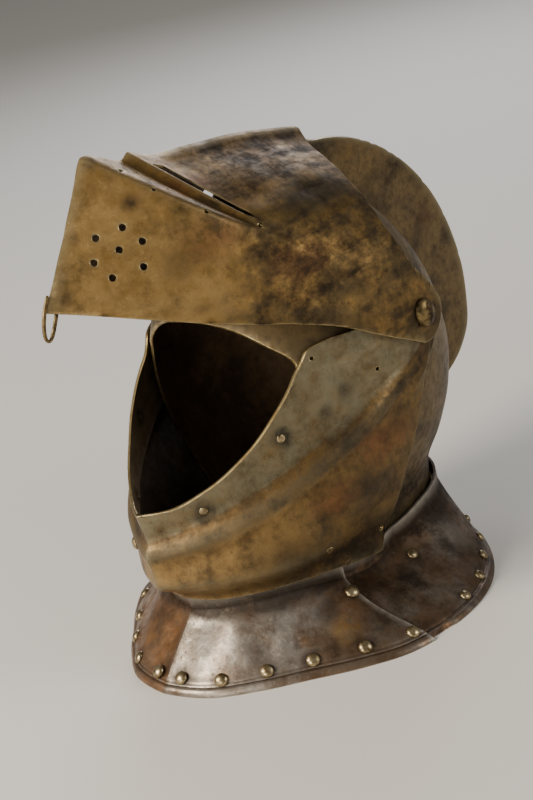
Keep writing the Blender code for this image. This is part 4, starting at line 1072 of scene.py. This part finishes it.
# Holes: breath, sights, pivots and the small holes of lost fittings.
for _, sign in SIDES:
    for angle, share in BREATH_HOLES:
        pierce(visor, visor_materials, visor_point, share, angle, sign, HOLE_RADIUS)
    for item, materials in ((visor, visor_materials), (bevor, bevor_materials),
                            (skull, skull_materials)):
        cut(item, drill("pivot_hole", (sign * BEVOR_HALF_WIDTH, 0.0, 0.0), (sign, 0.0, 0.0),
                        PIVOT_SHANK + GAP, materials))
    for place in LEDGE_HOLES:
        share, angle = nearest(visor_point, np.array(place) * MM)
        pierce(visor, visor_materials, visor_point, share, angle, sign, SMALL_HOLE)
    for angle, share in BEVOR_HOLES:
        pierce(bevor, bevor_materials, bevor_at, share, angle, sign, SMALL_HOLE)
    # The sight is a long curved slot: a bar bent to the visor, thicker than the sheet.
    along = np.linspace(0.0, 1.0, 25)
    share_line = SLIT_ENDS[0] + (SLIT_ENDS[1] - SLIT_ENDS[0]) * along
    middle = 0.5 * (SLIT_ANGLES[0] + SLIT_ANGLES[1])
    width = 0.5 * (SLIT_ANGLES[1] - SLIT_ANGLES[0]) * np.minimum(1.0, 8.0 * (1.0 - along) + 0.3)
    faces = [np.stack([visor_point(share_line, middle + turn * width) * np.array((sign, 1, 1))
                       for turn in (-1.0, 1.0)]) * np.array((1.0, scale, scale))
             for scale in SLIT_DEPTHS]
    bar = block("sight_cutter", faces[0], faces[1], visor_materials)
    bar.data.polygons.foreach_set("material_index", np.full(len(bar.data.polygons), 2, np.int32))
    cut(visor, bar)

for item in (visor, bevor, skull):
    file_edges(item)


# Gorget plates.
def gorget_sheet(name, columns, base, roll_start):
    """A flared plate with a rolled rim and the lines incised above it."""
    levels = np.concatenate((np.linspace(0.0, 0.15, 19), np.linspace(0.165, 1.0, 44),
                             (1.006, 1.02, 1.045, 1.075)))
    column_grid, level_grid = np.meshgrid(columns, levels)
    angle_grid = slanted(np.abs(column_grid), level_grid)
    sign = np.where(column_grid >= 0.0, 1.0, -1.0)[..., None] * np.array((1.0, 0.0, 0.0))
    sign = sign + np.array((0.0, 1.0, 1.0))
    turn = np.radians(angle_grid)
    flat = np.stack((np.sin(turn), -np.cos(turn), 0.0 * turn), axis=-1)
    lift = smooth(ROLL_LEVEL - 0.02, ROLL_LEVEL + 0.07, level_grid)[..., None]
    upright = flat + (gorget_normal(angle_grid, level_grid) - flat) * lift
    upright = upright / np.linalg.norm(upright, axis=-1, keepdims=True)
    centre = gorget_point(angle_grid, level_grid)
    place = np.clip(level_grid / ROLL_LEVEL, 0.0, 1.0)
    roll = RIM_ROLL * np.sqrt(np.maximum(0.0, 1.0 - (1.6 * place - 0.6) ** 2))
    roll = roll * smooth(roll_start - 1.5, roll_start, np.abs(column_grid) + 0.001)
    line = sum(depth * np.exp(-((level_grid - ROLL_LEVEL - up) / LINE_WIDTH) ** 2)
               for up, depth in RIM_LINES)
    dent = 0.0 * level_grid
    mm = centre * sign / MM
    for x, y, z, radius, deep in GORGET_DENTS:
        square = np.sum(((mm - np.array((x, y, z))) / radius) ** 2, axis=-1)
        dent = dent + deep * MM * np.exp(-square)
    # Hollows on both sides of the front keel leave it as a crease.
    off = np.abs(mm[..., 0])
    keel = KEEL_DEPTH * (1.0 - np.exp(-off / KEEL_EDGE)) * np.exp(-(off / KEEL_WIDTH) ** 2)
    keel = keel * (mm[..., 1] < 0.0) * smooth(1.04, 0.80, level_grid)
    wave = EVEN * (np.sin(mm[..., 0] / 7.0) * np.sin(mm[..., 1] / 6.1 + 0.7)
                   + 0.6 * np.sin(mm[..., 0] / 4.3 + mm[..., 2] / 5.0))
    dent = (dent + wave) * smooth(0.12, 0.25, level_grid) * smooth(1.0, 0.9, level_grid)
    dent = dent + keel * smooth(ROLL_LEVEL, 0.28, level_grid)
    outer = (centre + upright * (base + roll - line - dent)[..., None]) * sign
    inner = (centre + upright * (base - GORGET_PLATE - dent)[..., None]) * sign
    materials = (gorget_finish, inside_finish, edge_finish)
    return block(name, outer, inner, materials)


half_columns = np.concatenate((np.linspace(0.0, FRONT_END - SEAM_LAP, 52),
                               np.linspace(FRONT_END - SEAM_LAP, FRONT_END, 9)[1:]))
front_columns = np.concatenate((-half_columns[::-1], half_columns[1:]))
gorget_front = gorget_sheet("gorget_front_sheet", front_columns, 0.0, 0.0)
rear_half = np.concatenate((np.linspace(FRONT_END - SEAM_LAP, FRONT_END, 9),
                            np.linspace(FRONT_END, 180.0, 70)[1:]))
rear_columns = np.concatenate((rear_half, -rear_half[::-1][1:]))
gorget_rear = gorget_sheet("gorget_rear_sheet", rear_columns, REAR_BASE, FRONT_END + 9.0)

# Rivets: one domed head, one flush head, one pivot and the stud, turned and copied.
head = [(0.0, RIVET_RISE)]
head += [(RIVET_HEAD * math.sin(t), RIVET_RISE * math.cos(t) ** 0.9)
         for t in np.radians((12, 25, 38, 50, 62, 74, 84))]
shank = [(RIVET_SHANK, -SEATED), (RIVET_SHANK, -PLATE - SHANK_TAIL), (0.0, -PLATE - SHANK_TAIL)]
head += [(RIVET_HEAD, 0.0), (RIVET_HEAD * 0.98, -SEATED)] + shank
dome = turned("dome_pattern", head, 28, (rivet_finish,))
flush = turned("flush_pattern", list(FLUSH_HEAD) + shank, 24, (rivet_finish,))
boss_head = [(0.0, PIVOT_RISE)]
boss_head += [(PIVOT_HEAD * math.sin(t), PIVOT_RISE * math.cos(t) ** 0.8)
              for t in np.radians((10, 20, 30, 40, 50, 60, 70, 79, 86))]
boss_head += [(PIVOT_HEAD, 0.0), (PIVOT_SHANK, 0.0), (PIVOT_SHANK, -PIVOT_LENGTH),
              (0.0, -PIVOT_LENGTH)]
boss = turned("pivot_pattern", boss_head, 40, (pivot_finish,))

wear = np.random.default_rng(11)
rivet_shade_and_dirt = []                     # dark rings round the rivets, as strokes: dirt, and painted shade of the gap under each head


def fasten(pattern, node, place, normal, body, size=1.0, squeeze=1.0):
    """Copy a pattern to the place of a CAD rivet, a little crooked as hand work is; only
    the pivots sit straight, because the visor turns under them."""
    item = pattern.copy()
    item.data = pattern.data.copy()
    item.name = node + "_head"
    item.data.transform(Matrix.Translation(Vector(SEAT)) @ Matrix.Scale(squeeze, 4, (1, 0, 0))
                        @ Matrix.Translation(-Vector(SEAT)))
    bpy.context.collection.objects.link(item)
    crooked = normal + wear.normal(0.0, 0.0 if pattern is boss else CROOKED, 3)
    put(item, place, crooked, size * (1.0 + wear.normal(0.0, SIZE_SPREAD)))
    # A dark ring on the plate round each head: dirt, and painted shade of the gap under it.
    rivet_shade_and_dirt.append(("dark", *(np.array(place) / MM), RIVET_SHADE_AND_DIRT * size, 1.0, 0.85))
    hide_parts(node)
    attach(item, body)
    return item


for side, sign in SIDES:
    for number, (angle, level, size) in enumerate(FRONT_RIVETS, 1):
        turned_angle = min(angle, float(slanted(FRONT_END, level)) - RIVET_INSET)
        place = sided(sign, gorget_point(turned_angle, level))
        normal = sided(sign, gorget_normal(np.array(turned_angle), level))
        fasten(dome, "front_rivet_%s_%d" % (side, number), place, normal, "bevor",
               size)
    for number, (angle, level, size) in enumerate(REAR_RIVETS, 1):
        normal = sided(sign, gorget_normal(np.array(angle), level))
        place = sided(sign, gorget_point(angle, level)) + normal * REAR_BASE
        fasten(dome, "rear_rivet_%s_%d" % (side, number), place, normal, "skull",
               size)
    for number, (angle, share) in enumerate(BEVOR_RIVETS, 1):
        place = sided(sign, bevor_at(share, angle))
        normal = sided(sign, surface_normal(bevor_at, share, angle))
        fasten(flush, "bevor_rivet_%s_%d" % (side, number), place, normal, "bevor")
    fasten(boss, "pivot_" + side, np.array((sign * (VISOR_HALF_WIDTH + 2.0 * GAP), 0.0, 0.0)),
           np.array((sign, 0.0, 0.0)), "skull", squeeze=PIVOT_SQUEEZE)
place = sided(-1.0, bevor_at(STUD[1], STUD[0]))
normal = sided(-1.0, surface_normal(bevor_at, STUD[1], STUD[0]))
fasten(dome, "bevor_stud", place, normal, "bevor")
for pattern in (dome, flush, boss):
    bpy.data.objects.remove(pattern, do_unlink=True)

# Lifting loop: the bent wire of the part, made round.
loop = frame["nodes"]["lifting_loop"].copy()
loop.data = loop.data.copy()
loop.name = "lifting_wire"
loop.parent = None
for key in list(loop.keys()):
    del loop[key]
bpy.context.collection.objects.link(loop)
loop.data.materials.clear()
loop.data.materials.append(pivot_finish)
only(loop)
bpy.ops.object.mode_set(mode='EDIT')
bpy.ops.mesh.select_all(action='SELECT')
bpy.ops.mesh.remove_doubles(threshold=1e-6)
bpy.ops.mesh.tris_convert_to_quads()
bpy.ops.mesh.select_all(action='DESELECT')
bpy.ops.object.mode_set(mode='OBJECT')
modifier = loop.modifiers.new("round", 'SUBSURF')
modifier.levels = modifier.render_levels = 2
bpy.ops.object.modifier_apply(modifier=modifier.name)

# Strokes of colour, from the hinge line in mm: layer, place, radius, how far drawn out
# along Y, strength.
VISOR_STROKES = (
    ("gold", 14, -140, 100, 34, 1.0, 0.8), ("gold", 50, -118, 52, 26, 1.4, 0.7),
    ("dark", 20.8, -124.5, 109.7, 6.0, 1.0, 1.0), ("dark", 2.9, -155.4, 100.5, 5.0, 1.0, 0.8),
    ("dark", 2.6, -169.6, 81.1, 4.5, 1.0, 0.7), ("dark", 4.8, -172.3, 72.9, 6.0, 1.0, 0.8),
    ("dark", 3.1, -131.9, 134.0, 6.0, 1.0, 0.8), ("dark", 50.7, -119.5, 48.5, 4.0, 1.8, 0.6),
    ("dark", 67.5, -92.9, 35.8, 5.0, 1.8, 0.6), ("dark", 42.4, -116.5, 73.3, 10.0, 2.2, 0.5),
    ("dark", 35.3, -53.7, 97.0, 16.0, 2.2, 0.7), ("dark", 62.0, -25.0, 80.0, 18.0, 2.2, 0.8),
    ("dark", 15.2, 4.7, 94.3, 16.0, 1.8, 0.6), ("dark", 68.3, -2.4, 67.4, 16.0, 1.6, 0.7),
    ("dark", 80.0, -30.0, 45.0, 11.0, 2.6, 0.6), ("dark", -62.0, -25.0, 80.0, 20.0, 1.8, 0.8),
    ("rust", 48.7, -101.0, 80.2, 12.0, 1.8, 0.6), ("rust", 73.9, -64.2, 54.4, 13.0, 2.0, 0.6),
    # The small bare stroke here, at the end of the sight, is a chip of bare metal with a painted
    # highlight on it.
    ("rust", 28.0, -88.0, 108.0, 12.0, 1.8, 0.6), ("bare", 53.7, -72.4, 81.6, 2.4, 1.0, 0.6),
    # The dark stroke at the pivot here is painted shade: a dark crescent in the gap in front of
    # the pivot head.
    ("dark", 95.0, -9.0, 0.0, 6.0, 0.7, 1.0), ("gold", 88.0, -40.0, 20.0, 14.0, 2.0, 0.5),
)
BEVOR_STROKES = (
    ("dark", 78.3, -57.6, -24.4, 6.0, 1.0, 0.5), ("dark", 72.7, -71.7, -34.0, 6.0, 1.0, 0.5),
    ("rust", 85.4, -42.9, -61.4, 13.0, 1.8, 0.6), ("rust", 74.6, -85.0, -80.3, 12.0, 1.8, 0.5),
    # The first gold stroke here, on the chin's keel, is a painted highlight.
    ("gold", -2.0, -155.0, -103.0, 22.0, 1.0, 0.9), ("gold", 40.0, -140.0, -95.0, 20.0, 1.4, 0.6),
    ("dark", 59.9, -104.8, -110.7, 16.0, 1.6, 0.6), ("dark", 72.0, -60.0, -112.0, 14.0, 1.5, 0.7),
    ("gold", 76.0, -50.0, -104.0, 6.0, 2.0, 0.6),
)
SKULL_STROKES = (
    ("gold", 3.0, 70.0, 66.0, 18.0, 1.4, 0.4), ("dark", 3.0, 105.0, 50.0, 12.0, 1.2, 0.5),
    ("dark", 3.0, 40.0, 80.0, 12.0, 1.0, 0.5), ("rust", 3.0, 118.0, 10.0, 12.0, 1.0, 0.4),
    ("bare", 76.0, 30.0, -20.0, 14.0, 0.8, 0.4),
)
GORGET_STROKES = (
    ("dark", 69.1, -100.2, -143.8, 10.0, 1.0, 0.7), ("dark", 61.3, -88.5, -135.3, 10.0, 1.0, 0.6),
    ("gold", 80.0, -102.2, -152.3, 9.0, 1.0, 0.7), ("rust", 76.0, -92.0, -148.0, 10.0, 1.0, 0.5),
    ("gold", -30.0, -150.0, -155.0, 12.0, 1.0, 0.5), ("dark", 88.0, -80.0, -152.0, 10.0, 1.2, 0.6),
    # The bare stroke here, on the rear plate, is a painted sheen.
    ("bare", 80.0, 6.0, -146.0, 12.0, 1.0, 0.6), ("dark", 93.6, -46.7, -155.1, 14.0, 1.2, 0.6),
)
for item, strokes, stains_and_shade, node, body, slot in (
        (visor, VISOR_STROKES, visor_stains, "visor", "visor", "visor_bronzed_steel"),
        (bevor, BEVOR_STROKES, bevor_stains_and_shade, "bevor", "bevor", "bevor_steel"),
        (skull, SKULL_STROKES, skull_stains, "skull", "skull", "skull_steel"),
        (gorget_front, GORGET_STROKES, gorget_stains, "gorget_front", "bevor", "gorget_steel"),
        (gorget_rear, GORGET_STROKES, gorget_stains, "gorget_rear", "skull", "gorget_steel")):
    weather_and_painted_light(item, strokes + tuple(rivet_shade_and_dirt), stains_and_shade)
    only(item)
    bpy.ops.object.shade_smooth_by_angle(angle=math.radians(38.0))
    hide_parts(node)
    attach(item, body)
for item in [o for o in bpy.data.objects if o.name.endswith("_head")] + [loop]:
    only(item)
    bpy.ops.object.shade_smooth_by_angle(angle=math.radians(50.0))
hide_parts("lifting_loop")
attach(loop, "visor")

# Floor, light and camera.
FLOOR_SIZE = 40.0
bpy.ops.object.select_all(action='DESELECT')
bpy.ops.mesh.primitive_plane_add(size=FLOOR_SIZE, location=(0.0, 0.0, 0.0))
floor = bpy.context.object
floor.name = "floor"
# Matt paper: pale grey, with hardly any gloss.
paper = bpy.data.materials.new("matt_paper_floor")
paper.use_nodes = True
paper.node_tree.nodes["Principled BSDF"].inputs["Base Color"].default_value = linear("d9d6d0")
paper.node_tree.nodes["Principled BSDF"].inputs["Roughness"].default_value = 0.9
floor.data.materials.append(paper)

world = bpy.data.worlds.new("studio")
world.use_nodes = True
world.node_tree.nodes["Background"].inputs["Color"].default_value = linear("c9c8c6")
world.node_tree.nodes["Background"].inputs["Strength"].default_value = 0.36
bpy.context.scene.world = world


def soft_light(name, place, aim, size, power, colour):
    """A large soft box that looks at a point."""
    data = bpy.data.lights.new(name, 'AREA')
    data.shape = 'DISK'
    data.size = size
    data.energy = power
    data.color = linear(colour)[:3]
    item = bpy.data.objects.new(name, data)
    item.location = place
    item.rotation_mode = 'QUATERNION'
    item.rotation_quaternion = (Vector(aim) - Vector(place)).to_track_quat('-Z', 'Y')
    bpy.context.collection.objects.link(item)


AIM = (0.0, 0.0, 0.16)
# Name, place, what it looks at, width, power in watts, colour.
LIGHTS = (
    ("key_light", (-0.55, -1.45, 1.05), AIM, 0.7, 40.0, "fff4e4"),
    ("side_light", (1.5, 0.5, 0.8), AIM, 0.9, 13.0, "fbf6ee"),
    ("fill_light", (0.25, -1.3, 0.25), (0.0, 0.0, 0.14), 0.5, 7.0, "fff6ea"),
    ("back_light", (-0.9, 1.3, 1.1), AIM, 0.9, 14.0, "f4f6ff"),
)
for row in LIGHTS:
    soft_light(*row)

# Camera: solved from the photograph by matching both sides of the helmet.
CAMERA_PLACE = (0.79656, -0.75227, 0.35490)
CAMERA_RIGHT = (0.70711, 0.66898, -0.22904)
CAMERA_UP = (-0.09230, 0.40847, 0.90810)
CAMERA_BACK = (0.70106, -0.62098, 0.35057)
camera_data = bpy.data.cameras.new("camera")
camera = bpy.data.objects.new("camera", camera_data)
bpy.context.collection.objects.link(camera)
camera_data.sensor_fit = 'VERTICAL'
camera_data.sensor_width = 36.0
camera_data.sensor_height = 36.0
camera_data.lens = 86.25
camera_data.clip_start = 0.05
axes = Matrix((CAMERA_RIGHT, CAMERA_UP, CAMERA_BACK)).transposed()
camera.matrix_world = Matrix.Translation(Vector(CAMERA_PLACE) + Vector(SEAT)) @ axes.to_4x4()
bpy.context.scene.camera = camera
